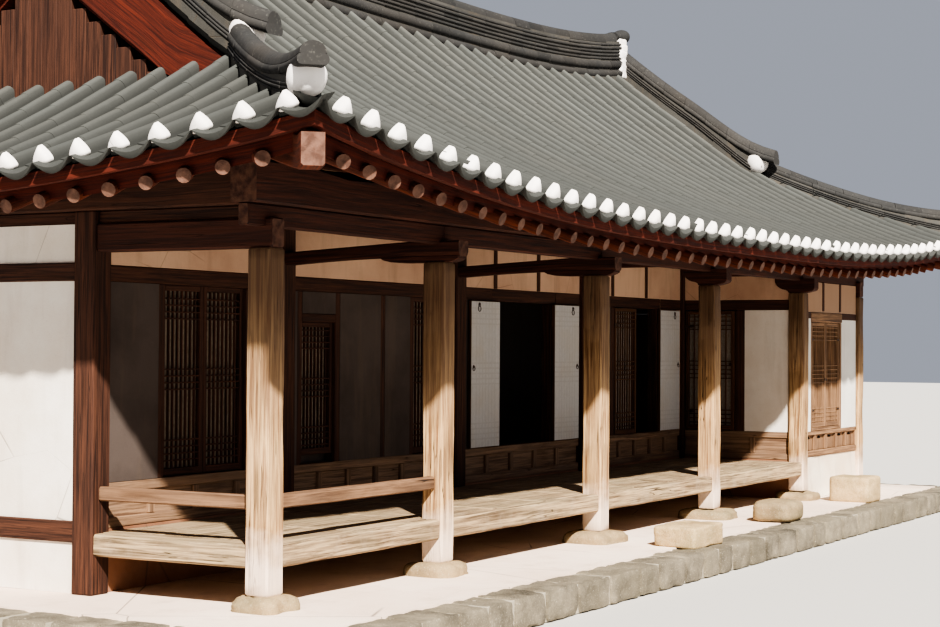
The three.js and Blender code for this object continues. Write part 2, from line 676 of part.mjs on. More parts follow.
const middleOf = (i) => (LINES[i] + LINES[i + 1]) / 2;
const rearWindows = [middleOf(1), middleOf(2), middleOf(3)];
const rearBoxes = railsAndWindows(LEFT_X + HALF, RIGHT_X - HALF, PLATE_Z, rearWindows);
const rearColumns = (spare) => LINES.map((x) => columnBlock(x, REAR_Y, PLINTH_Z + FIT - spare, PURLIN_Z + 5, spare));
add(
  "rear_frame",
  "timber",
  cut(
    join(
      rearColumns(0),
      placedBoxes(rearBoxes, onRear),
      purlin(SIDES.rear, EAVE_IN, RIGHT_X + PURLIN_TAIL, PURLIN_Z),
    ),
    hipNotches,
  ),
);
const COLUMN_ENDS = RIGHT_X - HALF - FIT;
const rearSlab = (spare) =>
  block(
    grown([-COLUMN_ENDS, COLUMN_ENDS], spare),
    grown([REAR_Y - WALL_IN, REAR_Y + WALL_OUT], spare),
    [PLINTH_Z + FIT, PLATE_Z - FIT + spare],
  );
const innerSlab = (x, z, spare = 0) => block(x, grown([INNER_Y - WALL_OUT, INNER_Y + WALL_IN], spare), z);
add(
  "rear_wall",
  "plaster",
  cut(
    rearSlab(0),
    rearColumns(FIT),
    placedBoxes([...rearBoxes, ...holes(rearWindows)], onRear, FIT),
  ),
);

function sideWall(name, x, onSide, from, windows) {
  const columnYs = [INNER_Y, MIDDLE_Y];
  const boxes = railsAndWindows(from, REAR_Y - HALF - FIT, BEAM_TOP_Z + FIT, windows);
  const plateBox = boxes.at(-1);
  plateBox[0] = [FRONT_Y + PURLIN_HALF + FIT, REAR_Y - PURLIN_HALF - FIT];
  const columns = (spare) => columnYs.map((y) => columnBlock(x, y, PLINTH_Z + FIT - spare, PURLIN_Z + 5, spare));
  const side = SIDES[name];
  add(
    `${name}_frame`,
    "timber",
    cut(
      join(columns(0), placedBoxes(boxes, onSide), purlin(side, EAVE_IN, plateBox[0][1], PURLIN_Z)),
      hipNotches,
    ),
  );
  const slab = onSide([from, REAR_Y - HALF - FIT], [-WALL_IN, WALL_OUT], [PLINTH_Z + FIT, BEAM_TOP_Z - FIT]);
  const beam = onSide([FRONT_Y, BEAM_BACK + FIT], [-BEAM.half - FIT, BEAM.half + FIT], [COLUMN_TOP_Z, BEAM_TOP_Z]);
  const behind = innerSlab([LEFT_X, LINE_2], [0, RIDGE_Z], FIT);
  const corners = [rearSlab(FIT), footingNotches, beam, x === LEFT_X ? behind : []];
  add(`${name}_wall`, "plaster", cut(slab, columns(FIT), placedBoxes([...boxes, ...holes(windows)], onSide, FIT), corners.flat()));
}

const rearBay = (MIDDLE_Y + REAR_Y) / 2;
const innerBay = (INNER_Y + MIDDLE_Y) / 2;
sideWall("left", LEFT_X, onLeft, INNER_Y + HALF + FIT, [rearBay]);
sideWall("right", RIGHT_X, onRight, FRONT_Y + HALF + FIT, [innerBay]);

// Floors: a raised masonry floor under the rooms, and the veranda's boards with their edge beams.
const WALL_ENDS = RIGHT_X - WALL_IN - FIT;
const INNER_FACE = INNER_Y - WALL_OUT;
const INNER_BACK = INNER_Y + WALL_IN;
const SIDE_FACE = LINE_5 - WALL_OUT;
const SIDE_BACK = LINE_5 + WALL_OUT;
add(
  "room_floor",
  "cement",
  cut(
    join(
      block([-WALL_ENDS, WALL_ENDS], [INNER_FACE, REAR_Y - WALL_IN - FIT], [PLINTH_Z + FIT, FLOOR_Z]),
      block([SIDE_FACE, WALL_ENDS], [FRONT_Y + WALL_OUT + FIT, INNER_FACE + 5], [PLINTH_Z + FIT, FLOOR_Z]),
    ),
    INNER_LINES.map((x) => notch(x, INNER_Y)),
    [LINE_5, RIGHT_X].map((x) => notch(x, FRONT_Y)),
    footingNotches,
  ),
);

const BOARDS = { edge: HALF - 20, thick: 60, beam: 160, beamWide: 100 };
const verandaOut = [LEFT_X - BOARDS.edge, FRONT_Y - BOARDS.edge];
add(
  "veranda_floor",
  "boards",
  cut(
    join(
      block([verandaOut[0], SIDE_FACE - FIT], [verandaOut[1], INNER_FACE - FIT], [VERANDA_Z - BOARDS.thick, VERANDA_Z]),
      block(
        [verandaOut[0], SIDE_FACE - FIT],
        [verandaOut[1], verandaOut[1] + BOARDS.beamWide],
        [VERANDA_Z - BOARDS.beam, VERANDA_Z - 5],
      ),
      block(
        [verandaOut[0], verandaOut[0] + BOARDS.beamWide],
        [verandaOut[1], INNER_FACE - FIT],
        [VERANDA_Z - BOARDS.beam, VERANDA_Z - 5],
      ),
    ),
    [LEFT_X, LINE_2, LINE_3, LINE_4, LINE_5].flatMap((x) => [notch(x, FRONT_Y), notch(x, INNER_Y)]),
  ),
);

// A rail runs round the open left end of the veranda.
const HANDRAIL = { half: 30, z: [900, 1000] };
add(
  "rail_front",
  "boards",
  block(
    [LEFT_X + HALF + FIT, LINE_2 - HALF - FIT],
    [FRONT_Y - HANDRAIL.half, FRONT_Y + HANDRAIL.half],
    HANDRAIL.z,
  ),
);
add(
  "rail_left",
  "boards",
  block(
    [LEFT_X - HANDRAIL.half, LEFT_X + HANDRAIL.half],
    [FRONT_Y + HALF + FIT, INNER_Y - HALF - FIT],
    HANDRAIL.z,
  ),
);

// The wall behind the veranda: a timber dado, plaster above it, and door openings in bays 3 and 4.
const innerNotches = INNER_LINES.map((x) => notch(x, INNER_Y));
const DOOR_X = { 3: LINES[2] + 1350, 4: LINES[3] + 1370 };
const POST = { wide: 100, deep: 110, head: 120 };

add(
  "inner_dado",
  "timber",
  cut(innerSlab([-COLUMN_ENDS, LINE_5 + HALF], [FLOOR_Z + FIT, SILL_Z]), innerNotches),
);
const HEAD_BEAM_Z = HEAD_Z + POST.head;
const wallTop = profile(
  "y",
  [
    [-COLUMN_ENDS, HEAD_BEAM_Z + FIT],
    [LINE_5 + HALF, HEAD_BEAM_Z + FIT],
    [LINE_5 + HALF, INNER_PURLIN_Z - FIT],
    [-FAN_X, INNER_PURLIN_Z - FIT],
    [-COLUMN_ENDS, PURLIN_Z - 40],
  ],
  INNER_FACE,
  INNER_BACK,
);
add("inner_wall_top", "plaster", cut(wallTop, innerNotches));

// Lift-off hinges: each leaf stands on two barrels fixed to the frame, with its own barrels over them.
const LEAF_Z = [SILL_Z + LEAF.sill, HEAD_Z - LEAF.sill];
const HINGE = { radius: 5, tall: 30, in: 200, sides: 8, tab: 4 };
const HINGE_Y = INNER_FACE - LEAF.proud;
const HINGE_LEVELS = [LEAF_Z[0] + HINGE.in, LEAF_Z[1] - HINGE.in];

function barrel(x, y, low) {
  const made = new THREE.CylinderGeometry(HINGE.radius, HINGE.radius, HINGE.tall, HINGE.sides);
  made.rotateX(Math.PI / 2).translate(x, y, low + HINGE.tall / 2);
  return fromGeometry(made);
}

// Barrels at both levels, each with a tab: tabX and tabY run from the pin line to what holds it.
function barrels([x, y], tabX, tabY, down) {
  return HINGE_LEVELS.map((level) => {
    const low = level - down;
    const tab = [tabX, tabY].map((to) => [Math.min(0, to), Math.max(0, to)]);
    return join(barrel(x, y, low), block(grownFrom(x, tab[0]), grownFrom(y, tab[1]), [low, low + HINGE.tall]));
  });
}
const grownFrom = (at, [low, high]) => [at + low, at + high];
const FRAME_DOWN = HINGE.tall + FIT;

// The columns behind the veranda; the last one carries the side door.
const SIDE_HINGE_X = SIDE_FACE - LEAF.proud;
const toColumn = SIDE_HINGE_Y - INNER_Y + HALF;
const sideBarrels = barrels([SIDE_HINGE_X, SIDE_HINGE_Y], HINGE.radius, 1 - toColumn, FRAME_DOWN);
INNER_LINES.forEach((x, i) => {
  const column = columnBlock(x, INNER_Y, PLINTH_Z + FIT, INNER_PURLIN_Z - FIT);
  add(`inner_column_${i + 2}`, "column", x === LINE_5 ? join(column, sideBarrels) : column);
});

// A door frame: two posts and the head beam that joins them.
function doorFrame(middle) {
  const inner = DOORWAY / 2;
  const outer = inner + POST.wide;
  const depth = [INNER_FACE, INNER_FACE + POST.deep];
  return join(
    block([middle - outer, middle - inner], depth, [SILL_Z + FIT, HEAD_BEAM_Z]),
    block([middle + inner, middle + outer], depth, [SILL_Z + FIT, HEAD_BEAM_Z]),
    block([middle - outer, middle + outer], depth, [HEAD_Z, HEAD_BEAM_Z]),
    [-1, 1].flatMap((side) => barrels([middle + side * inner, HINGE_Y], side * HINGE.radius, LEAF.proud + 1, FRAME_DOWN)),
  );
}

const frameOuter = DOORWAY / 2 + POST.wide + FIT;
for (const [bay, middle] of Object.entries(DOOR_X)) {
  add(`bay${bay}_door_frame`, "timber", doorFrame(middle));
}

// Bays 1 and 2 hold closed windows and a board door, each between its own posts.
const PANE = { bar: 70, back: 30, thick: 45, lap: 5 };
const FIXED = {
  1: { panes: [{ x: [-5560, -4560], z: [SILL_Z + 5, HEAD_Z] }], posts: [] },
  2: {
    panes: [
      { x: [-3790, -3300], z: [SILL_Z + 70, HEAD_Z - 250] },
      { x: [-2020, -1430], z: [SILL_Z + 5, HEAD_Z] },
    ],
    posts: [-2550],
  },
};

function fixedFrame(bay, spare) {
  const { panes, posts } = FIXED[bay];
  const depth = grown([INNER_FACE, INNER_FACE + POST.deep], spare);
  const bar = (x, z) => block(grown(x, spare), depth, grown(z, spare));
  const upright = (x) => bar([x, x + PANE.bar], [SILL_Z + FIT, HEAD_BEAM_Z]);
  return join(
    bar([LINES[bay - 1] + HALF + FIT, LINES[bay] - HALF - FIT], [HEAD_Z, HEAD_BEAM_Z]),
    posts.map((x) => upright(x - PANE.bar / 2)),
    panes.flatMap(({ x, z }) => {
      const across = [x[0] - PANE.lap, x[1] + PANE.lap];
      const pane = [INNER_FACE + PANE.back, INNER_FACE + PANE.back + PANE.thick];
      return [
        upright(x[0] - PANE.bar),
        upright(x[1]),
        block(across, grown(pane, spare), [z[0] - PANE.lap, z[1] + PANE.lap]),
        bar(across, [Math.max(SILL_Z + FIT, z[0] - PANE.bar), z[0]]),
        bar(across, [z[1], z[1] + PANE.bar]),
      ];
    }),
  );
}
[1, 2].forEach((bay) => add(`bay${bay}_frame`, "timber", fixedFrame(bay, 0)));
const fixedHoles = [1, 2].flatMap((bay) =>
  FIXED[bay].panes.map(({ x, z }) => block(grown(x, PANE.lap), [INNER_FACE - 1, INNER_BACK + 1], z)),
);

const innerPlaster = (name, x, tools = []) =>
  add(name, "plaster", cut(innerSlab(x, [SILL_Z + FIT, HEAD_BEAM_Z]), innerNotches, tools));
innerPlaster("inner_wall_left", [-COLUMN_ENDS, DOOR_X[3] - frameOuter], [
  fixedFrame(1, FIT),
  fixedFrame(2, FIT),
  ...fixedHoles,
]);
innerPlaster("inner_wall_middle", [DOOR_X[3] + frameOuter, DOOR_X[4] - frameOuter]);
innerPlaster("inner_wall_right", [DOOR_X[4] + frameOuter, LINE_5 + HALF]);

// The side wall of bay 5, from its front column back to the inner corner, with one door leaf.
const SIDE_POST = [SIDE_HINGE_Y - LEAF.side * 2 - SIDE_LEAF_WIDTH - 120, SIDE_HINGE_Y - LEAF.side * 2 - SIDE_LEAF_WIDTH];
const sideEnds = [FRONT_Y + HALF + FIT, INNER_Y - HALF - FIT];
const sideSlab = (y, z) => block([SIDE_FACE, SIDE_BACK], y, z);
add("side_dado", "timber", sideSlab(sideEnds, [FLOOR_Z + FIT, SILL_Z]));
add(
  "side_door_frame",
  "timber",
  join(sideSlab(SIDE_POST, [SILL_Z + FIT, HEAD_BEAM_Z]), sideSlab(sideEnds, [HEAD_Z, HEAD_BEAM_Z])),
);
add("side_wall_panel", "plaster", sideSlab([sideEnds[0], SIDE_POST[0] - FIT], [SILL_Z + FIT, HEAD_Z - FIT]));
const sideTop = [
  [sideEnds[0], HEAD_BEAM_Z + FIT],
  [sideEnds[1], HEAD_BEAM_Z + FIT],
  [sideEnds[1], BEAM.high[0] - FIT],
  ...BRACKET.toReversed().map(([y, z]) => [y + 2 * FIT, Math.min(z, BEAM.high[0]) - 2 * FIT]),
];
add("side_wall_top", "plaster", profile("x", sideTop, SIDE_FACE, SIDE_BACK));

// Bay 5 comes forward to the front columns: foundation, framed dado, window and plaster.
const BAY_5 = { from: LINE_5 + HALF + FIT, to: RIGHT_X - HALF - FIT, dado: [715, 1017], window: [4560, 5580] };
const frontSlab = (x, z, spare = 0) => block(x, grown([FRONT_Y - WALL_OUT, FRONT_Y + WALL_OUT], spare), z);
add(
  "bay5_foundation",
  "plaster",
  cut(frontSlab([BAY_5.from, BAY_5.to], [PLINTH_Z + FIT, BAY_5.dado[0] - FIT]), footingNotches),
);
add("bay5_dado", "timber", frontSlab([BAY_5.from, BAY_5.to], BAY_5.dado));
const bay5Window = (spare) =>
  frontSlab(grown(BAY_5.window, 60 + spare), [BAY_5.dado[1] + FIT - spare, WINDOW.head + 120 + spare], spare);
add("bay5_window", "lattice", bay5Window(0));
add(
  "bay5_wall",
  "plaster",
  cut(frontSlab([BAY_5.from, BAY_5.to], [BAY_5.dado[1] + FIT, PLATE_Z - FIT]), bay5Window(FIT)),
);

// Door leaves at rest as they stand open or closed. Each turns about a pin at its outer face.
function innerLeaf(name, middle, side, open) {
  const hinge = middle + (side * DOORWAY) / 2;
  const way = open ? side : -side;
  const across = [hinge + way * LEAF.side, hinge + way * (LEAF.side + LEAF.width)].sort((a, b) => a - b);
  const depth = open ? [HINGE_Y - LEAF.thick, HINGE_Y] : [HINGE_Y, HINGE_Y + LEAF.thick];
  const pins = barrels([hinge, HINGE_Y], way * 2 * HINGE.radius, open ? -HINGE.tab : HINGE.tab, 0);
  add(name, "lattice", join(block(across, depth, LEAF_Z), pins));
}
innerLeaf("bay3_door_left", DOOR_X[3], -1, true);
innerLeaf("bay3_door_right", DOOR_X[3], 1, true);
innerLeaf("bay4_door_left", DOOR_X[4], -1, false);
innerLeaf("bay4_door_right", DOOR_X[4], 1, true);
add(
  "side_door",
  "lattice",
  join(
    block(
      [SIDE_HINGE_X, SIDE_HINGE_X + LEAF.thick],
      [SIDE_HINGE_Y - LEAF.side - SIDE_LEAF_WIDTH, SIDE_HINGE_Y - LEAF.side],
      LEAF_Z,
    ),
    barrels([SIDE_HINGE_X, SIDE_HINGE_Y], HINGE.tab, -2 * HINGE.radius, 0),
  ),
);

export default house;
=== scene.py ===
"""The look of a five-bay hanok house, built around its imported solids. Metres, +Z up, front at -Y."""
import math
import random

import bpy
from mathutils import Matrix, Vector, noise

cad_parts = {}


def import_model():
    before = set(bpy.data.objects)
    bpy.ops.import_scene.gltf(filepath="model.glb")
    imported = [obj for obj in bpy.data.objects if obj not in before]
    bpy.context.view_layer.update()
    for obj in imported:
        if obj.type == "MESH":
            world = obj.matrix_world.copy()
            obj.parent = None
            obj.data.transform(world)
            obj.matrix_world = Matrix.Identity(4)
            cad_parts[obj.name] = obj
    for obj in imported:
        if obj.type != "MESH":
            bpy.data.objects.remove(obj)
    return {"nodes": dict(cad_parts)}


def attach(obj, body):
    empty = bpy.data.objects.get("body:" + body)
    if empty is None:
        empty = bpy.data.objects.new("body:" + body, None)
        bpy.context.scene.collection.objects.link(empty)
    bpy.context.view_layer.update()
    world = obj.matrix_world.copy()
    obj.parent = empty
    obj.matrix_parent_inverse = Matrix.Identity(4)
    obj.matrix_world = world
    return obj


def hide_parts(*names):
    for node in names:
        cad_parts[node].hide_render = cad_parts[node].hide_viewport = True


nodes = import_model()["nodes"]
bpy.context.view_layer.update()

# Plan and levels, the same as those of the solids.
BAYS = (2.26, 2.81, 2.70, 2.74, 2.09)
LINES = [-sum(BAYS) / 2 + sum(BAYS[:i]) for i in range(len(BAYS) + 1)]
LEFT_X, LINE_2, LINE_3, LINE_4, LINE_5, RIGHT_X = LINES
HALF = 0.095
FRONT_Y, INNER_Y, MIDDLE_Y, REAR_Y = -2.8, -1.3, 0.75, 2.8
PLINTH_Z, FOOT_Z, VERANDA_Z, FLOOR_Z, SILL_Z = 0.24, 0.34, 0.675, 0.69, 1.015
HEAD_Z, HEAD_BEAM_Z, COLUMN_TOP_Z, BEAM_TOP_Z = 2.44, 2.56, 2.64, 2.84
PLATE_Z, PURLIN_Z, INNER_PURLIN_Z = 2.78, 2.93, 3.47
WALL_OUT, WALL_IN = 0.05, 0.11
INNER_FACE, INNER_BACK = INNER_Y - WALL_OUT, INNER_Y + WALL_IN
SIDE_FACE, SIDE_BACK = LINE_5 - WALL_OUT, LINE_5 + WALL_OUT

# Joints between neighbours: plain ones, and those of pieces let in between columns.
GAP, LET_IN = 0.001, 0.0005

# Roof.
EAVE_X, EAVE_Y, EAVE_Z, RIDGE_Z = 7.515, 4.015, 3.0, 5.34
CORNER_RISE, CORNER_FLARE, FLARE_DEPTH, LOW_SLOPE = 0.43, 0.1, 1.8, 0.58
GABLE_X, GABLE_LIFT = 5.47, 0.11
HIP_IN = EAVE_X - GABLE_X
PURLIN_IN = EAVE_Y + INNER_Y
RAFTER_R, RAFTER_STEP, TIP_IN, TIP_Z, RAFTER_SLOPE, BOARD_RISE = 0.052, 0.29, 0.2, 2.77, 0.38, 0.045


def sweep(d):
    """How much of the corners' rise reaches a place d in from the end of the eave."""
    return max(0.0, 1 - d / EAVE_X) ** 3


def slope_z(t, d):
    s = t / EAVE_Y
    return EAVE_Z + CORNER_RISE * sweep(d) + (RIDGE_Z - EAVE_Z) * (LOW_SLOPE * s + (1 - LOW_SLOPE) * s * s)


def tile_z(t, d):
    """The tiles follow the slope, and sweep up a little towards the ends of the main ridge."""
    up = min(max(t - HIP_IN, 0.0), 1.0)
    return slope_z(t, d) + GABLE_LIFT * up * up * (3 - 2 * up) * (max(EAVE_X - d, 0.0) / GABLE_X) ** 4


def tile_slope(t):
    return (RIDGE_Z - EAVE_Z) / EAVE_Y * (LOW_SLOPE + 2 * (1 - LOW_SLOPE) * t / EAVE_Y)


def rafters_top(t):
    return TIP_Z + RAFTER_R * math.hypot(1, RAFTER_SLOPE) + RAFTER_SLOPE * (t - TIP_IN)


DEEPEST = slope_z(PURLIN_IN, EAVE_X) - rafters_top(PURLIN_IN) - BOARD_RISE


def soffit_z(t, d):
    if t > PURLIN_IN:
        return slope_z(t, d) - DEEPEST
    return rafters_top(max(t, TIP_IN)) + BOARD_RISE + CORNER_RISE * sweep(d)


def flare(x, y):
    """Moves a point of the eave out where the corners bow."""

    def bow(own, half, other, other_half):
        return CORNER_FLARE * abs(other / other_half) ** 3 * max(0, 1 - (half - abs(own)) / FLARE_DEPTH)

    return (
        x + math.copysign(bow(x, EAVE_X, y, EAVE_Y), x),
        y + math.copysign(bow(y, EAVE_Y, x, EAVE_X), y),
    )


class Side:
    """One side of the roof in its own frame: along the eave, and t in from it."""

    def __init__(self, name, half, place, top):
        self.name, self.half, self.place, self.top = name, half, place, top
        self.long = half == EAVE_X

    def at(self, along, t, out=0.0):
        """A point on the tile surface, moved out square to the slope."""
        slope = tile_slope(max(t, 0))
        hyp = math.hypot(1, slope)
        x, y = flare(*self.place(along, t - out * slope / hyp))
        return (x, y, tile_z(t, self.half - abs(along)) + out / hyp)


SIDES = {
    "front": Side("front", EAVE_X, lambda a, t: (a, -(EAVE_Y - t)), EAVE_Y - 0.08),
    "rear": Side("rear", EAVE_X, lambda a, t: (-a, EAVE_Y - t), EAVE_Y - 0.08),
    "left": Side("left", EAVE_Y, lambda a, t: (-(EAVE_X - t), -a), HIP_IN - 0.01),
    "right": Side("right", EAVE_Y, lambda a, t: (EAVE_X - t, a), HIP_IN - 0.01),
}


# Numbers and places.
AXIS = {"x": (0, 1, 2), "y": (1, 0, 2), "z": (2, 0, 1)}


def about(middle, half):
    return (middle - half, middle + half)


def evenly(low, high, count):
    return [low + (high - low) * k / (count - 1) for k in range(count)]


def closer_at_ends(steps):
    """Shares from -1 to 1 that lie closer together at the ends."""
    return [math.sin((k / steps - 1) * math.pi / 2) for k in range(2 * steps + 1)]


def turn(count):
    return [2 * math.pi * k / count for k in range(count)]


def middle_of(ring):
    return Vector([sum(p[k] for p in ring) / len(ring) for k in range(3)])


def along_rings(rings):
    """Wood coordinates for each point: along the piece, then across it, from a heart of its own."""
    way = (middle_of(rings[-1]) - middle_of(rings[0])).normalized()
    across = way.cross((0, 0, 1) if abs(way.z) < 0.9 else (1, 0, 0)).normalized()
    up = way.cross(across)
    start, heart = random.uniform(0, 20), (random.uniform(-0.08, 0.08), random.uniform(0.02, 0.1))
    out, origin = [], middle_of(rings[0])
    for ring in rings:
        centre = middle_of(ring)
        for p in ring:
            run, off = (Vector(p) - origin).dot(way), Vector(p) - centre
            out.append((start + run, off.dot(across) + heart[0], off.dot(up) + heart[1]))
    return out


def wobble(point, size, amount):
    """A smooth offset that depends on the place alone, so that the result never changes."""
    return amount * noise.noise(Vector(point) * size)


# Meshes.
def skin(rings, count, around=False):
    """Faces between rings of points. Around, the last ring meets the first one again."""
    pairs = [(i, (i + 1) % rings) for i in range(rings if around else rings - 1)]
    steps = [(j, (j + 1) % count) for j in range(count)]
    return [[a * count + j, a * count + k, b * count + k, b * count + j] for a, b in pairs for j, k in steps]


def grid(rows, columns):
    """Faces of a flat body: two sheets of points in rows, and the rim between the sheets."""

    def at(sheet, i, j):
        return (sheet * rows + i) * columns + j

    faces = []
    for i in range(rows - 1):
        for j in range(columns - 1):
            for sheet in (0, 1):
                quad = [at(sheet, i, j), at(sheet, i, j + 1), at(sheet, i + 1, j + 1), at(sheet, i + 1, j)]
                faces.append(quad if sheet else quad[::-1])
    rim = [(0, j) for j in range(columns - 1)] + [(i, columns - 1) for i in range(rows - 1)]
    rim += [(rows - 1, j) for j in range(columns - 1, 0, -1)] + [(i, 0) for i in range(rows - 1, 0, -1)]
    faces += [[at(0, *a), at(0, *b), at(1, *b), at(1, *a)] for a, b in zip(rim, rim[1:] + rim[:1])]
    return faces


class Shape:
    """Closed solids gathered into one piece.

    The tone is a number for each solid, which its material reads, and the mark picks out faces.
    """

    def __init__(self):
        self.points, self.faces, self.tones, self.marks, self.grain = [], [], [], [], []

    def solid(self, points, faces, tone=0.5, marked=(), grain=None):
        """Adds one closed surface, turned so that it faces out."""
        volume = 0.0
        for face in faces:
            a = points[face[0]]
            for i in range(1, len(face) - 1):
                b, c = points[face[i]], points[face[i + 1]]
                volume += (
                    a[0] * (b[1] * c[2] - b[2] * c[1])
                    - a[1] * (b[0] * c[2] - b[2] * c[0])
                    + a[2] * (b[0] * c[1] - b[1] * c[0])
                )
        start = len(self.points)
        self.points.extend(points)
        self.grain.extend(grain or points)
        for i, face in enumerate(faces):
            turned = face if volume > 0 else face[::-1]
            self.faces.append([start + k for k in turned])
            self.tones.append(tone)
            self.marks.append(1.0 if i in marked else 0.0)

    def loft(self, rings, tone=0.5, mark_ends=False, grain=None):
        """A skin over rings of points with a face at each end. The grain runs along it."""
        count = len(rings[0])
        points = [p for ring in rings for p in ring]
        last = (len(rings) - 1) * count
        faces = skin(len(rings), count) + [list(range(count))[::-1], [last + j for j in range(count)]]
        marked = (len(faces) - 2, len(faces) - 1) if mark_ends else ()
        self.solid(points, faces, tone, marked, grain or along_rings(rings))

    def piece(self, name, material, slot, node=None, angle=30, body="house"):
        """Makes the mesh, which stands for a node where one is named, and rides on a body."""
        mesh = bpy.data.meshes.new(name)
        mesh.from_pydata(self.points, [], self.faces)
        mesh.materials.append(material)
        for key, values in (("tone", self.tones), ("mark", self.marks)):
            mesh.attributes.new(key, "FLOAT", "FACE").data.foreach_set("value", values)
        flat = [value for point in self.grain for value in point]
        mesh.attributes.new("grain", "FLOAT_VECTOR", "POINT").data.foreach_set("vector", flat)
        mesh.polygons.foreach_set("use_smooth", [True] * len(mesh.polygons))
        mesh.set_sharp_from_angle(angle=math.radians(angle))
        mesh.update()
        made = bpy.data.objects.new(name, mesh)
        bpy.context.scene.collection.objects.link(made)
        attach(made, body)
        if node:
            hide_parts(node)


def timber(shape, axis, x, y, z, bevel=0.008, uneven=0.002, step=0.3, tone=None, seed=0.0):
    """A squared timber with broken edges and slightly uneven faces."""
    run, first, second = AXIS[axis]
    spans = (x, y, z)
    low, high = spans[run]
    (u0, u1), (v0, v1) = spans[first], spans[second]
    c = min(bevel, (u1 - u0) / 3, (v1 - v0) / 3, (high - low) / 4)
    middle = ((u0 + u1) / 2, (v0 + v1) / 2)
    count = max(1, round((high - low) / step))
    stations = [low, low + c] + [low + (high - low) * k / count for k in range(1, count)] + [high - c, high]
    outline = [
        (u0 + c, v0), (u1 - c, v0), (u1, v0 + c), (u1, v1 - c),
        (u1 - c, v1), (u0 + c, v1), (u0, v1 - c), (u0, v0 + c),
    ]
    rings = []
    for k, s in enumerate(stations):
        inset = c * 0.6 if k in (0, len(stations) - 1) else 0.0
        ring = []
        for u, v in outline:
            point = [0.0, 0.0, 0.0]
            point[run] = s
            for index, value, centre in ((first, u, middle[0]), (second, v, middle[1])):
                point[index] = value + math.copysign(inset, centre - value)
            shift = wobble((s * 1.7 + seed, u * 9 + seed, v * 9), 1.0, uneven)
            point[first] += math.copysign(1, middle[0] - u) * abs(shift)
            point[second] += math.copysign(1, middle[1] - v) * abs(shift)
            ring.append(tuple(point))
        rings.append(ring)
    shape.loft(rings, random.random() if tone is None else tone, mark_ends=True)


def rounded(shape, low, high, power=5.0, rough=0.01, cuts=7, seed=0.0, tone=None, size=3.0):
    """A hewn or worn stone: a box with its corners rounded off and its faces uneven."""
    centre = [(a + b) / 2 for a, b in zip(low, high)]
    half = [(b - a) / 2 for a, b in zip(low, high)]
    index, points, faces = {}, [], []

    def at(p):
        if p not in index:
            v = [2 * k / cuts - 1 for k in p]
            reach = sum(abs(k) ** power for k in v) ** (1 / power)
            unit = [k / reach for k in v]
            place = [c + h * k for c, h, k in zip(centre, half, unit)]
            push = noise.noise(Vector(place) * size + Vector((seed, seed, 0))) * rough
            push -= abs(noise.noise(Vector(place) * size * 4 + Vector((seed, 0, seed)))) * rough * 0.5
            push = min(push, 0.0) - rough * 0.1
            index[p] = len(points)
            points.append(tuple(c + k * push / max(h, 1e-6) * h for c, k, h in zip(place, unit, half)))
        return index[p]

    for fixed in range(3):
        u, v = [k for k in range(3) if k != fixed]
        for level in (0, cuts):
            for i in range(cuts):
                for j in range(cuts):
                    corners = []
                    for di, dj in ((0, 0), (1, 0), (1, 1), (0, 1)):
                        p = [0, 0, 0]
                        p[fixed], p[u], p[v] = level, i + di, j + dj
                        corners.append(at(tuple(p)))
                    flip = (level == 0) != (fixed == 1)
                    faces.append(corners[::-1] if flip else corners)
    shape.solid(points, faces, random.random() if tone is None else tone)


# Materials.
def tint(red, green, blue):
    """A colour given as it looks on a screen."""
    shares = [v / 255 for v in (red, green, blue)]
    return (*(v / 12.92 if v <= 10 / 255 else ((v + 0.055) / 1.055) ** 2.4 for v in shares), 1)


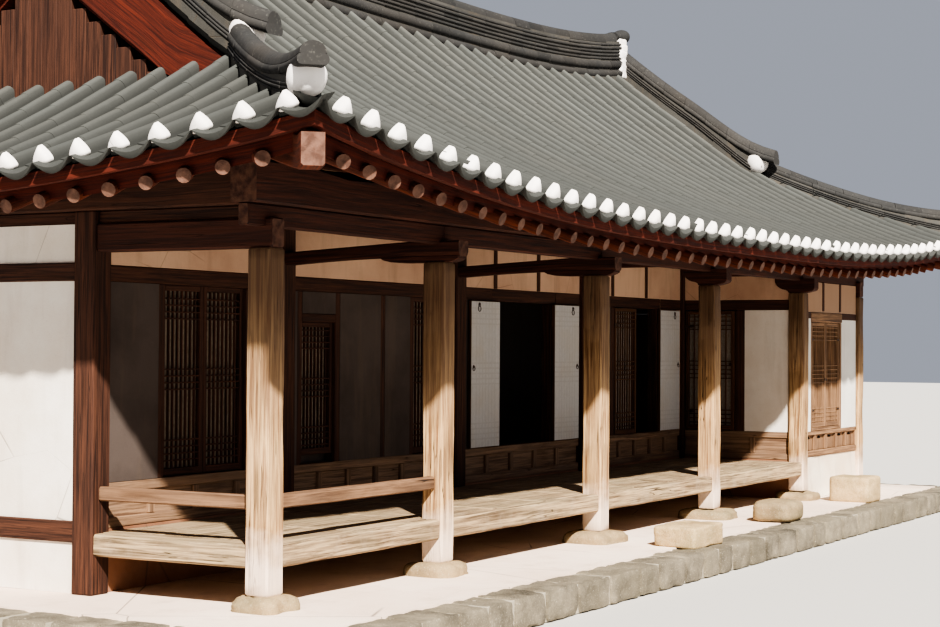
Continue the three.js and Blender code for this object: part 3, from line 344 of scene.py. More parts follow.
class Look:
    """A material made of nodes, with short ways to join them."""

    def __init__(self, name, roughness=0.8, specular=0.3):
        self.material = bpy.data.materials.new(name)
        self.material.use_nodes = True
        self.tree = self.material.node_tree
        self.shader = next(n for n in self.tree.nodes if n.type == "BSDF_PRINCIPLED")
        self.shader.inputs["Roughness"].default_value = roughness
        self.shader.inputs["Specular IOR Level"].default_value = specular
        self.height = None

    def join(self, value, socket):
        if isinstance(value, bpy.types.NodeSocket):
            self.tree.links.new(value, socket)
        else:
            socket.default_value = value

    def attribute(self, name, vector=False):
        node = self.tree.nodes.new("ShaderNodeAttribute")
        node.attribute_name = name
        return node.outputs["Vector" if vector else "Fac"]

    def place(self):
        return self.tree.nodes.new("ShaderNodeNewGeometry").outputs["Position"]

    def split(self, vector, axis):
        node = self.tree.nodes.new("ShaderNodeSeparateXYZ")
        self.join(vector, node.inputs[0])
        return node.outputs["xyz".index(axis)]

    def scaled(self, vector, scale):
        node = self.tree.nodes.new("ShaderNodeMapping")
        self.join(vector, node.inputs["Vector"])
        node.inputs["Scale"].default_value = scale
        return node.outputs[0]

    def noise(self, vector, scale=1.0, detail=4.0, rough=0.5, stretch=(1, 1, 1), distort=0.0):
        node = self.tree.nodes.new("ShaderNodeTexNoise")
        self.join(self.scaled(vector, stretch), node.inputs["Vector"])
        for key, value in (("Scale", scale), ("Detail", detail), ("Roughness", rough), ("Distortion", distort)):
            node.inputs[key].default_value = value
        return node.outputs[0]

    def cells(self, vector, scale, feature="F1", stretch=(1, 1, 1)):
        node = self.tree.nodes.new("ShaderNodeTexVoronoi")
        node.feature = feature
        self.join(self.scaled(vector, stretch), node.inputs["Vector"])
        node.inputs["Scale"].default_value = scale
        return node.outputs["Distance"]

    def math(self, kind, a, b=0.0):
        node = self.tree.nodes.new("ShaderNodeMath")
        node.operation = kind
        self.join(a, node.inputs[0])
        self.join(b, node.inputs[1])
        return node.outputs[0]

    def between(self, value, low, high, to_low=0.0, to_high=1.0):
        """Maps a range to another, held at its ends."""
        node = self.tree.nodes.new("ShaderNodeMapRange")
        for index, given in enumerate((value, low, high, to_low, to_high)):
            self.join(given, node.inputs[index])
        return node.outputs[0]

    def mix(self, factor, a, b):
        node = self.tree.nodes.new("ShaderNodeMix")
        node.data_type = "RGBA"
        for index, given in ((0, factor), (6, a), (7, b)):
            self.join(given, node.inputs[index])
        return node.outputs[2]

    def patch(self, vector, scale, low, high, detail=4.0, rough=0.5, stretch=(1, 1, 1), distort=0.0):
        """How far a noise lies between two values, from 0 to 1."""
        return self.between(self.noise(vector, scale, detail, rough, stretch, distort), low, high)

    def over(self, colour, where, amount, new):
        """Lays a new colour over another, by an amount of where it belongs."""
        return self.mix(self.math("MULTIPLY", where, amount), colour, new)

    def cracks(self, vector, scale, where):
        line = self.between(self.cells(vector, scale, "DISTANCE_TO_EDGE"), 0.0, 0.006, 1.0, 0.0)
        return self.math("MULTIPLY", line, where)

    def raised(self, height, amount):
        """Adds to the height that the bump is made from, in metres."""
        scaled = self.math("MULTIPLY", height, amount)
        self.height = scaled if self.height is None else self.math("ADD", self.height, scaled)

    def done(self, colour, roughness=None):
        self.join(colour, self.shader.inputs["Base Color"])
        if roughness is not None:
            self.join(roughness, self.shader.inputs["Roughness"])
        if self.height is not None:
            bump = self.tree.nodes.new("ShaderNodeBump")
            bump.inputs["Distance"].default_value = 1.0
            self.join(self.height, bump.inputs["Height"])
            self.join(bump.outputs[0], self.shader.inputs["Normal"])
        return self.material


def tile_look(name, light, dark, warm, shade_and_grime=None):
    """Fired clay. Painted shade with some dirt darkens a roof tile low down, where the first grain coordinate
    is small. The roof also darkens towards its eave.
    """
    look = Look(name, 0.85, 0.25)
    at = look.place()
    colour = look.mix(look.attribute("tone"), dark, light)
    colour = look.over(colour, look.patch(at, 0.7, 0.42, 0.7, 5, 0.6), 0.45, warm)
    colour = look.over(colour, look.patch(at, 34, 0.58, 0.75, 3, 0.7), 0.16, tint(170, 168, 156))
    colour = look.over(colour, look.patch(at, 5, 0.52, 0.8, 4, 0.65), 0.22, tint(72, 72, 68))
    if shade_and_grime:
        # Painted shade with some dirt: darker where the tile lies low, in the creases between covers and
        # channels.
        height = look.split(look.attribute("grain", True), "x")
        ragged = look.math("ADD", height, look.between(look.noise(at, 26, 3, 0.6), 0, 1, -0.06, 0.06))
        colour = look.mix(look.between(ragged, 0.62, 0.99, 0.9, 0.0), colour, shade_and_grime)
        # Darker towards the eave: the mix falls from 0.75 at z 3.1 to 0.1 at z 4.6.
        colour = look.mix(look.between(look.split(at, "z"), 3.1, 4.6, 0.75, 0.1), colour, shade_and_grime)
    look.raised(look.noise(at, 60, 4, 0.6), 0.0012)
    look.raised(look.noise(at, 9, 3), 0.002)
    return look.done(colour, look.between(look.noise(at, 12), 0.3, 0.7, 0.75, 0.95))


def plaster_look(name, base, stain, dirt=0.35, rough=0.0012, above=None):
    """Lime plaster with stains, runs, specks and cracks. It may have another tint above a level, which paints
    shade there.
    """
    look = Look(name, 0.92, 0.2)
    at = look.place()
    colour = look.mix(look.patch(at, 0.9, 0.38, 0.68, 6, 0.62), base, stain)
    if above:
        # Painted shade: another tint above the level.
        level, shaded_tint = above
        high = look.between(look.split(at, "z"), level - 0.01, level + 0.01)
        colour = look.over(colour, high, 0.85, shaded_tint)
    colour = look.over(colour, look.patch(at, 1.0, 0.52, 0.78, 5, 0.6, (7, 7, 0.8)), dirt, tint(126, 108, 88))
    colour = look.over(colour, look.patch(at, 90, 0.62, 0.8, 2, 0.7), 0.25, tint(120, 104, 86))
    line = look.cracks(at, 1.6, look.patch(at, 0.8, 0.55, 0.62, 2))
    colour = look.over(colour, line, 0.5, tint(96, 80, 64))
    look.raised(look.noise(at, 130, 3, 0.6), rough)
    look.raised(look.noise(at, 5, 4, 0.55), 0.006)
    look.raised(line, -0.002)
    return look.done(colour)


BLACK = (0, 0, 0, 1)
SAWN = (tint(122, 92, 78), tint(90, 66, 56))
DARK_SAWN = (tint(104, 74, 60), tint(66, 44, 38))
WOOD_ROUGH = 0.78


def wood_look(
    name, light, dark, grey=None, cracks=0.35, knots=0.5, foot=None, worn=0.0, ends=DARK_SAWN, painted_shade=None,
):
    """Wood whose fibres run along the first grain coordinate. The tone of each piece shifts it."""
    look = Look(name, WOOD_ROUGH, 0.28)
    at, place = look.attribute("grain", True), look.place()
    fibre = look.noise(at, 1.0, 6, 0.62, (1.6, 55, 55), 0.4)
    fine = look.noise(at, 1.0, 4, 0.7, (6, 260, 260))
    colour = look.mix(look.between(fibre, 0.38, 0.58), dark, light)
    colour = look.over(colour, look.patch(at, 1.0, 0.4, 0.64, 3, 0.5, (0.55, 16, 16), 1.2), 0.45, dark)
    colour = look.over(colour, look.between(fine, 0.48, 0.72), 0.55, look.mix(0.5, dark, BLACK))
    shade = look.between(look.attribute("tone"), 0.0, 1.0, 0.0, 0.4)
    colour = look.mix(shade, colour, look.mix(0.5, dark, light))
    if grey:
        colour = look.over(colour, look.patch(place, 1.6, 0.36, 0.66, 5, 0.6), 0.42, grey)
    if knots:
        spot = look.between(look.cells(at, 1.0, stretch=(1.1, 7, 7)), 0.1, 0.24, 1.0, 0.0)
        colour = look.over(colour, spot, knots, look.mix(0.75, light, tint(52, 30, 18)))
        look.raised(spot, 0.001)
    if cracks:
        off = look.math("SUBTRACT", look.noise(at, 1.0, 2, 0.5, (0.7, 24, 24), 0.3), 0.5)
        thin = look.between(look.math("ABSOLUTE", off), 0.0, 0.012, 1.0, 0.0)
        thin = look.math("MULTIPLY", thin, look.patch(at, 1.0, 0.5, 0.6, 2, 0.5, (1.2, 5, 5)))
        colour = look.over(colour, thin, min(1, cracks * 2), tint(30, 20, 14))
        look.raised(thin, -0.004 * cracks)
    if worn:
        colour = look.over(colour, look.patch(place, 5, 0.5, 0.66, 5, 0.7), worn, tint(176, 160, 140))
    if foot:
        level, wash, amount = foot
        ragged = look.between(look.noise(place, 7, 4, 0.6), 0, 1, -0.2, 0.2)
        edge = look.math("ADD", look.split(place, "z"), ragged)
        colour = look.mix(look.between(edge, level - 0.16, level + 0.14, amount, 0.0), colour, wash)
    if painted_shade:
        # Painted shade: the wood darkens towards the top, between two levels, for the shadow under the eave.
        level, full, darker, amount = painted_shade
        colour = look.mix(look.between(look.split(place, "z"), level, full, 0.0, amount), colour, darker)
    sawn = look.mix(look.patch(at, 1.0, 0.35, 0.65, 3, 0.5, (0.01, 18, 18)), *ends)
    colour = look.over(colour, look.attribute("mark"), 0.92, sawn)
    look.raised(fibre, 0.004)
    look.raised(fine, 0.0008)
    return look.done(colour, look.between(fibre, 0.3, 0.7, WOOD_ROUGH - 0.12, WOOD_ROUGH + 0.15))


def stone_look(name, light, dark, moss, speckle=0.4, rough=0.004):
    """Hewn stone with a mossy stain, and dark and pale grit."""
    look = Look(name, 0.9, 0.25)
    at = look.place()
    colour = look.mix(look.patch(at, 3.2, 0.34, 0.68, 6, 0.65), dark, light)
    colour = look.mix(look.between(look.attribute("tone"), 0, 1, 0, 0.5), colour, look.mix(0.5, light, moss))
    colour = look.over(colour, look.patch(at, 1.7, 0.5, 0.7, 4, 0.6), 0.5, moss)
    colour = look.over(colour, look.patch(at, 110, 0.52, 0.72, 2, 0.8), speckle, tint(70, 66, 60))
    colour = look.over(colour, look.patch(at, 75, 0.58, 0.75, 2, 0.8), speckle, tint(214, 206, 190))
    look.raised(look.noise(at, 14, 5, 0.62), rough)
    look.raised(look.noise(at, 120, 3, 0.7), 0.0012)
    return look.done(colour)


def cement_look(name, light, dark, stain):
    look = Look(name, 0.88, 0.25)
    at = look.place()
    colour = look.mix(look.patch(at, 0.7, 0.35, 0.68, 6, 0.6), light, dark)
    colour = look.over(colour, look.patch(at, 3.3, 0.52, 0.72, 5, 0.7), 0.5, stain)
    crack = look.cracks(at, 0.75, look.patch(at, 0.6, 0.45, 0.55, 2))
    colour = look.over(colour, crack, 0.7, tint(92, 80, 70))
    colour = look.over(colour, look.patch(at, 160, 0.5, 0.75, 2, 0.8), 0.2, tint(120, 108, 98))
    look.raised(look.noise(at, 90, 4, 0.7), 0.0016)
    look.raised(crack, -0.003)
    return look.done(colour)


def paper_look(name, base, shade, aged, bars=None):
    """Mulberry paper, aged on its outer side. On the other side the bars behind it may show faintly, as painted
    shadows.
    """
    look = Look(name, 0.9, 0.15)
    at = look.place()
    fibres = look.noise(at, 1.0, 5, 0.7, (60, 60, 22), 1.5)
    colour = look.mix(look.between(fibres, 0.35, 0.7), base, shade)
    colour = look.over(colour, look.patch(at, 2.2, 0.45, 0.75, 4, 0.6), 0.4, tint(188, 176, 158))
    if bars:
        # Painted shadow of the bars behind the paper, on the marked strips.
        colour = look.over(colour, look.attribute("mark"), bars, tint(140, 132, 126))
    inner_side = look.between(look.split(look.attribute("grain", True), "x"), 0.4, 0.6)
    outer = look.mix(look.between(fibres, 0.3, 0.7), aged, look.mix(0.5, aged, shade))
    look.raised(fibres, 0.0005)
    return look.done(look.mix(inner_side, outer, colour))


def iron_look(name):
    look = Look(name, 0.55, 0.5)
    look.shader.inputs["Metallic"].default_value = 0.7
    at = look.place()
    look.raised(look.noise(at, 150, 3), 0.0004)
    return look.done(look.mix(look.patch(at, 60, 0.4, 0.65, 4, 0.7), tint(58, 52, 48), tint(96, 66, 48)))


# Near-black insets for openings: painted shade of the hollow behind them.
def slot_look(name):
    look = Look(name, 0.95, 0.1)
    look.raised(look.noise(look.place(), 80), 0.001)
    return look.done(look.mix(look.noise(look.place(), 30), tint(16, 12, 10), tint(34, 26, 22)))


TILE = tile_look("roof tile", tint(104, 106, 102), tint(84, 86, 83), tint(102, 98, 90), tint(64, 65, 63))
RIDGE_TILE = tile_look("ridge tile", tint(70, 69, 68), tint(46, 46, 46), tint(76, 70, 64))
WHITE = plaster_look("white lime plaster", tint(250, 246, 242), tint(240, 232, 226), 0.06)
BED = plaster_look("ridge mortar", tint(92, 90, 86), tint(70, 68, 64), 0.3, 0.003)
JOINT = plaster_look("grey lime mortar", tint(176, 168, 152), tint(140, 132, 118), 0.3, 0.003)
PANEL = plaster_look("beige wall plaster", tint(212, 178, 152), tint(190, 154, 130), 0.3)
# Dark plaster for parts of the wall behind the veranda: painted shade.
DIM = plaster_look("smoked wall plaster", tint(92, 82, 77), tint(68, 59, 55), 0.3)
PALE = plaster_look("pale wall plaster", tint(236, 230, 222), tint(218, 206, 192), 0.2)
# Above z 2.42 the end bay's plaster takes a dark beige: painted shade under the eave.
END_BAY = plaster_look(
    "end bay plaster", tint(224, 221, 214), tint(208, 202, 193), 0.15, above=(2.42, tint(158, 119, 86)),
)
FOUNDATION = plaster_look("rough foundation plaster", tint(238, 226, 208), tint(218, 198, 174), 0.3, 0.006)
EAVE_WOOD = wood_look("eave timber", tint(106, 48, 34), tint(56, 24, 18), cracks=0.3, knots=0.3)
BEAM_WOOD = wood_look("beam timber", tint(92, 56, 44), tint(42, 25, 22), cracks=0.35, knots=0.4)
RAFTER_WOOD = wood_look("rafter timber", tint(118, 62, 42), tint(62, 31, 22), cracks=0.3, knots=0.4, ends=SAWN)
# The column tops darken from z 1.35 up with painted shade of the eave; the pale foot is weathering.
COLUMN_WOOD = wood_look(
    "column timber", tint(226, 190, 142), tint(122, 84, 56), tint(160, 136, 110), cracks=1.0, knots=0.8,
    foot=(0.66, tint(230, 212, 196), 0.8), painted_shade=(1.35, 2.35, tint(80, 58, 46), 0.8),
)
FRAME_WOOD = wood_look("wall timber", tint(96, 64, 50), tint(48, 31, 26), cracks=0.35, knots=0.4)
DADO_WOOD = wood_look(
    "weathered boards", tint(168, 136, 108), tint(92, 68, 54), tint(142, 122, 104), cracks=0.4,
)
FLOOR_WOOD = wood_look(
    "floor boards", tint(204, 178, 144), tint(88, 70, 54), tint(150, 138, 112), cracks=1.0, knots=0.6, worn=0.3,
)
WINDOW_WOOD = wood_look("window timber", tint(166, 132, 102), tint(88, 64, 48), cracks=0.1, knots=0.0)
RAIL_WOOD = wood_look("rail timber", tint(150, 118, 92), tint(82, 60, 46), tint(132, 108, 90), cracks=0.5)
LATTICE_WOOD = wood_look("lattice timber", tint(112, 78, 54), tint(52, 34, 26), cracks=0.1, knots=0.0)
STONE = stone_look("hewn stone", tint(210, 182, 140), tint(158, 134, 100), tint(166, 152, 116), 0.6, 0.01)
CURB_STONE = stone_look("curb stone", tint(150, 140, 122), tint(84, 78, 68), tint(116, 108, 90), rough=0.01)
GREY_STONE = stone_look("river stone", tint(184, 158, 122), tint(124, 108, 86), tint(120, 116, 92), 0.4, 0.012)
CEMENT = cement_look("plinth cement", tint(246, 228, 212), tint(230, 208, 190), tint(206, 184, 166))
FLOOR = cement_look("room floor", tint(168, 128, 102), tint(140, 100, 78), tint(120, 86, 66))
PAPER = paper_look("door paper", tint(200, 198, 196), tint(184, 183, 182), tint(128, 112, 96), 0.14)
PANE_PAPER = paper_look("window paper", tint(226, 216, 200), tint(206, 194, 176), tint(128, 112, 96))
IRON = iron_look("black iron")
DARK_SLOT = slot_look("dark slot")


# Roof tiles. Concave tiles lie in columns, and half-round ones cover the joints between them.
random.seed(7)
PITCH, COVER_R, COVER_LENGTH, CHANNEL_LENGTH = 0.3095, 0.063, 0.36, 0.19
CREST_OUT, COVER_IN, TILES_IN = 0.035, 0.092, 0.12
CHANNEL_HALF, CHANNEL_DEEP, CHANNEL_EDGE, CHANNEL_THICK = 0.148, 0.047, -0.021, 0.018
# The hanging lip of the first tile in each channel: how far in, and how thick.
LIP = ((0.008, 0.038), (0.012, 0.044), (0.036, 0.04), (0.042, 0.018))
HALF_TURN = [math.pi * k / 8 for k in range(9)]
ACROSS = [k / 5 for k in range(-5, 6)]
# How high each point of a tile's outline lies, for the painted shade and dirt that gather low down.
COVER_HEIGHTS = [math.sin(a) for a in HALF_TURN] + [0.0, 0.0]
CHANNEL_HEIGHTS = [0.36 * (1 - u * u) for u in ACROSS] + [0.5] * 11
LIP_HEIGHTS = [0.86] * 22


def cover_ring(side, along, t, radius, lift):
    low = CREST_OUT - COVER_R + lift
    outline = [(radius * math.cos(a), low + radius * math.sin(a)) for a in HALF_TURN]
    outline += [(-radius, low - 0.05), (radius, low - 0.05)]
    return [side.at(along + a, t, out) for a, out in outline]


def channel_ring(side, along, t, lift, thick=CHANNEL_THICK):
    top = [(CHANNEL_HALF * u, CHANNEL_EDGE - CHANNEL_DEEP * (1 - u * u) + lift) for u in ACROSS]
    under = [(a * 0.97, out - thick * (0.25 + 0.75 * (1 - u * u))) for u, (a, out) in zip(ACROSS, top)]
    return [side.at(along + a, t, out) for a, out in top + under[::-1]]


def column_top(side, along, spare):
    """How far in a column of tiles runs: to the ridge, or to the hip that cuts it off."""
    if abs(along) < GABLE_X and side.long:
        return side.top
    return min(side.top, side.half - abs(along) - spare)


def tile(shape, rings, heights, tone):
    shape.loft(rings, tone, grain=[(height, 0.0, 0.0) for _ in rings for height in heights])


def tiles(side):
    shape = Shape()
    count = int((side.half - TILES_IN) / PITCH)
    for k in range(-count, count + 1):
        along, drift, streak = k * PITCH, random.gauss(0, 0.003), random.gauss(0.6, 0.16)
        top, t = column_top(side, along, 0.1), COVER_IN
        while t < top - 0.05:
            end = min(t + COVER_LENGTH, top)
            at, lift = along + drift + random.uniform(-0.0015, 0.0015), random.uniform(-0.0007, 0.0007)
            rings = [
                cover_ring(side, at, t, COVER_R - 0.002, lift),
                cover_ring(side, at, t + 0.005, COVER_R, lift),
                cover_ring(side, at, end + 0.01, COVER_R - 0.003, lift - 0.002),
            ]
            tile(shape, rings, COVER_HEIGHTS, streak + random.gauss(0, 0.05))
            t = end
    for k in range(-count - 1, count + 1):
        along = (k + 0.5) * PITCH
        if abs(along) + 0.1 > side.half:
            continue
        top, t, first = column_top(side, along, 0.02), random.uniform(-0.008, 0.008), True
        while t < top - 0.03:
            end = min(t + CHANNEL_LENGTH, top)
            lift = random.uniform(-0.001, 0.001)
            last = channel_ring(side, along, end + 0.02, lift - 0.006)
            if first:
                rings = [channel_ring(side, along, t + into, lift + 0.002, thick) for into, thick in LIP]
                tile(shape, rings + [last], LIP_HEIGHTS, random.gauss(0.5, 0.12))
            else:
                rings = [channel_ring(side, along, t, lift + 0.003), last]
                # A channel tile takes a low tone, so it reads darker: painted shade between the covers.
                tile(shape, rings, CHANNEL_HEIGHTS, random.gauss(0.2, 0.08))
            t, first = end, False
    return shape


def pointed_arch(share, wide, high, low):
    """A point of a low pointed arch with a softly rounded foot, for a share of the way round."""
    a = 2 * math.pi * share
    reach = math.copysign(wide, math.cos(a))
    if math.sin(a) < 0:
        return reach * abs(math.cos(a)) ** 0.6, low * math.sin(a)
    rise = 1 - abs(math.cos(a)) ** 1.2
    return reach * (1 - rise ** 1.55), high * rise


def plug(side, along, t, outline, bulge, steps=7):
    """Rings of the white plaster plug in the end of a cover tile: a pointed face that swells out."""
    rings, heart, foot = [], 0.012, CREST_OUT - COVER_R
    for i in range(steps + 1):
        angle = math.pi / 2 * i / steps
        size, out = math.cos(angle) ** 0.75 * 0.98 + 0.02, bulge * math.sin(angle)
        sized = [(along + u * size, foot + heart + (v - heart) * size) for u, v in outline]
        rings.append([side.at(u, t - out, v) for u, v in sized])
    return rings


def tile_ends(side):
    shape = Shape()
    count = int((side.half - TILES_IN) / PITCH)
    for k in range(-count, count + 1):
        wide = random.uniform(0.067, 0.073)
        high, low = random.uniform(0.092, 0.101), random.uniform(0.026, 0.032)
        along = k * PITCH + random.uniform(-0.004, 0.004)
        outline = [pointed_arch(i / 24, wide, high, low) for i in range(24)]
        back = plug(side, along, COVER_IN + 0.03, outline, 0.0)[:1]
        shape.loft(back + plug(side, along, COVER_IN, outline, random.uniform(0.034, 0.04)))
    return shape


def roof_body(side):
    """The boards over the rafters and the earth on them, up to the underside of the tiles."""
    last = side.top if side.long else HIP_IN - 0.001
    rows = [0.14, 0.4, 0.8, 1.2, 1.6, 2.0, 2.4, PURLIN_IN, PURLIN_IN + 0.02, 3.1, 3.5]
    rows = [t for t in rows if t < last] + [last]
    shape, points, spread = Shape(), [], closer_at_ends(14)
    for under in (True, False):
        for t in rows:
            reach = max(side.half - t, GABLE_X) if side.long else side.half - t
            for along in (u * reach for u in spread):
                d = side.half - abs(along)
                z = soffit_z(t, d) if under else tile_z(t, d) - 0.112
                points.append((*flare(*side.place(along, t)), z))
    order = (0, 1, 2) if side.long else (1, 0, 2)
    shape.solid(points, grid(len(rows), len(spread)), 0.4, grain=[tuple(p[k] for k in order) for p in points])
    return shape


def eave_strip(side, near, far, low, high, short=0.0, tone=0.5):
    """A strip along the eave, from near to far in. Its low and high level depend on t and d."""
    shape, rings = Shape(), []
    for u in closer_at_ends(30):
        ring = []
        for t, level in ((near, low), (far, low), (far, high), (near, high)):
            along = math.copysign(min(abs(u) * (side.half - t), side.half - t - short), u)
            ring.append((*flare(*side.place(along, t)), level(t, side.half - abs(along))))
        rings.append(ring)
    shape.loft(rings, tone)
    return shape


def board_low(t, d):
    return soffit_z(t, d) - 0.012


def board_high(t, d):
    return tile_z(t, d) - 0.09


for name, side in SIDES.items():
    tiles(side).piece(f"tiles_{name}", TILE, "roof_tile", f"roof_{name}", 50)
    tile_ends(side).piece(f"tile_ends_{name}", WHITE, "lime_plaster", angle=70)
    roof_body(side).piece(f"roof_boards_{name}", EAVE_WOOD, "dark_timber")
    eave_strip(side, 0.105, 0.16, board_low, board_high).piece(f"eave_board_{name}", EAVE_WOOD, "dark_timber")


# Ridges: rounded tiles and thin flat ones in courses, under a smooth cover.
# A path is a list of places: x, y, the way across, the foot and the rise.
def upright(place, outline):
    """An outline of (across, z), set up at a place of a path."""
    x, y, across_x, across_y = place[:4]
    return [(x + w * across_x, y + w * across_y, z) for w, z in outline]


def mirrored(outline):
    return outline + [(-w, z) for w, z in outline[::-1]]


def section(kind, wide, low, high):
    """The outline of a ridge tile: with round sides, with a round top, or flat."""
    tall = high - low
    if kind == "round":
        bends, middle = [math.pi * (k / 6) - math.pi / 2 for k in range(7)], (low + high) / 2
        inset = [tall * 0.42 * (1 - math.cos(a)) for a in bends]
        return mirrored([(wide - w, middle + tall / 2 * math.sin(a)) for w, a in zip(inset, bends)])
    if kind == "cap":
        return [(wide * math.cos(a), low + tall * math.sin(a)) for a in HALF_TURN]
    c = tall * 0.3
    return mirrored([(wide - c, low), (wide, low + c), (wide, high - c), (wide - c, high)])


def course(shape, path, kind, half, low, high, long, tone=0.5):
    """One course of tiles along a path. Its levels are shares of the rise."""
    lengths = [0.0]
    for a, b in zip(path, path[1:]):
        lengths.append(lengths[-1] + math.dist((*a[:2], a[4]), (*b[:2], b[4])))
    total = lengths[-1]

    def station(s):
        s = min(max(s, 0), total)
        i = max(k for k in range(len(lengths) - 1) if lengths[k] <= s + 1e-9)
        share = (s - lengths[i]) / (lengths[i + 1] - lengths[i])
        return [p + (q - p) * share for p, q in zip(path[i], path[i + 1])]

    count, joint = max(1, round(total / long)), 0.004
    for k in range(count):
        a, b = total * k / count + joint / 2, total * (k + 1) / count - joint / 2
        wide = half + random.uniform(-0.004, 0.004)
        rings = []
        for s in evenly(a, b, max(1, round((b - a) / 0.18)) + 1):
            place = station(s)
            foot, rise = place[4:]
            rings.append(upright(place, section(kind, wide, foot + low * rise, foot + high * rise)))
        shape.loft(rings, random.gauss(tone, 0.15))


def core(shape, path, half, low, high):
    """The grey mortar bed inside a ridge, seen only in the joints between its courses."""
    rings = []
    for place in path:
        foot, rise = place[4:]
        z0, z1 = foot + low * rise, foot + high * rise
        rings.append(upright(place, ((half, z0), (half, z1), (-half, z1), (-half, z0))))
    shape.loft(rings)


# Courses from the foot up: kind, half width, low and high share of the rise, and length of a tile.
RIDGE_COURSES = (
    ("round", 0.135, 0.02, 0.2, 0.34),
    ("round", 0.132, 0.21, 0.4, 0.34),
    ("flat", 0.112, 0.42, 0.475, 0.3),
    ("flat", 0.118, 0.495, 0.55, 0.3),
    ("flat", 0.112, 0.57, 0.625, 0.3),
    ("flat", 0.118, 0.645, 0.7, 0.3),
    ("flat", 0.108, 0.72, 0.78, 0.3),
)
CORNER_COURSES = (
    ("flat", 0.105, 0.2, 0.27, 0.32),
    ("flat", 0.11, 0.29, 0.36, 0.32),
    ("flat", 0.105, 0.38, 0.45, 0.32),
    ("round", 0.108, 0.47, 0.72, 0.34),
)
# The cover's end: how far past the ridge's end, its half width, and its low and high side.
SNOUT = (
    (-0.28, 0.1, 0.0, 0.116), (-0.2, 0.103, 0.0, 0.126), (-0.12, 0.108, -0.004, 0.146),
    (-0.05, 0.115, -0.006, 0.17), (0.0, 0.12, -0.006, 0.187), (0.04, 0.118, 0.0, 0.19),
    (0.07, 0.1, 0.02, 0.175), (0.09, 0.07, 0.045, 0.152), (0.1, 0.03, 0.078, 0.12),
)
# The plaster lumps at the ridge's end: share of the rise, half width and length.
END_LUMPS = (
    (0.06, 0.138, 0.2), (0.18, 0.14, 0.24), (0.31, 0.138, 0.2),
    (0.46, 0.134, 0.24), (0.61, 0.128, 0.19), (0.73, 0.118, 0.22),
)
RIDGE_END, CURL, CURL_RISE = GABLE_X - 0.18, 0.55, 0.1
VERGE_END, HIP_END, FOOT_DROP = EAVE_Y - HIP_IN + 0.16, 0.14, 0.06


def ridge_path(end, curl=0.0):
    """The middle line of the main ridge. Its cover curls up over the last stretch."""
    path = []
    for x in evenly(-end, end, 61):
        u = x / RIDGE_END
        lift = curl * max(0, 1 - (RIDGE_END - abs(x)) / CURL) ** 2
        foot = tile_z(EAVE_Y, EAVE_X - abs(x)) - 0.15 + 0.04 * u * u + lift
        path.append((x, 0.0, 0.0, 1.0, foot, 0.58))
    return path


def verge_path(side_x, side_y, short=0.0, lift=0.0):
    """The ridge down the gable's edge, short of its full reach, its last stretch lifted off the tiles."""
    path = []
    for y in evenly(0.1, VERGE_END - short, 17):
        foot = tile_z(max(EAVE_Y - y, HIP_IN - 0.16), HIP_IN) - FOOT_DROP + lift * (y / VERGE_END) ** 4
        path.append((side_x * (GABLE_X - 0.175), side_y * y, 1.0, 0.0, foot, 0.33))
    return path


def hip_path(side_x, side_y, short=0.0, lift=0.0):
    """The ridge over a corner, from the foot of the gable out to the eave's corner."""
    path, across = [], math.sqrt(0.5)
    for t in evenly(HIP_IN + 0.06, HIP_END + short, 17):
        x, y = flare(side_x * (EAVE_X - t), side_y * (EAVE_Y - t))
        foot = tile_z(t, t) - FOOT_DROP + lift * max(0.0, 1 - (t - HIP_END) / 1.1) ** 2
        path.append((x, y, side_x * across, -side_y * across, foot, 0.27))
    return path


def lump(centre, radii, seed, power):
    """A rounded lump of white plaster."""
    low, high = [c - r for c, r in zip(centre, radii)], [c + r for c, r in zip(centre, radii)]
    rounded(caps, low, high, power, 0.02, 8, seed, 0.5, 6.0)


def corner_ridge(path_of, corner, size, cap_half, short, lift):
    """Thin courses that stop at a white plug, under a round row and a cover that run on past them."""
    whole, layers = path_of(*corner, 0.0, lift), path_of(*corner, short)
    bridge = path_of(*corner, short * 0.55, lift * 0.6)
    for kind, half, low, high, long in CORNER_COURSES:
        course(ridge, whole if kind == "round" else layers, kind, half * size, low, high, long)
    course(ridge, whole, "cap", cap_half, 0.72, 1.0, 0.36, 0.4)
    core(mortar, layers, 0.094 * size, -0.2, 0.6)
    core(mortar, bridge, 0.08 * size, 0.35, 0.76)
    (x, y), foot = layers[-1][:2], layers[-1][4]
    ahead_x, ahead_y = whole[-1][0] - x, whole[-1][1] - y
    step, radius = 0.05 / math.hypot(ahead_x, ahead_y), 0.135 * size
    lump((x + step * ahead_x, y + step * ahead_y, foot + radius + 0.02), (radius,) * 3, x + y, 2.2)


def snout(side_x):
    """The last cover of the main ridge: it widens, curls up and closes with a rounded face."""
    foot, rise = ridge_path(RIDGE_END - 0.28, CURL_RISE)[-1][4:]
    rings = []
    for out, half, low, high in SNOUT:
        x, middle, reach = side_x * (RIDGE_END + out), foot + 0.8 * rise + (low + high) / 2, (high - low) / 2
        rings.append([(x, half * math.cos(a), middle + reach * math.sin(a)) for a in turn(20)])
    ridge.loft(rings, 0.35)


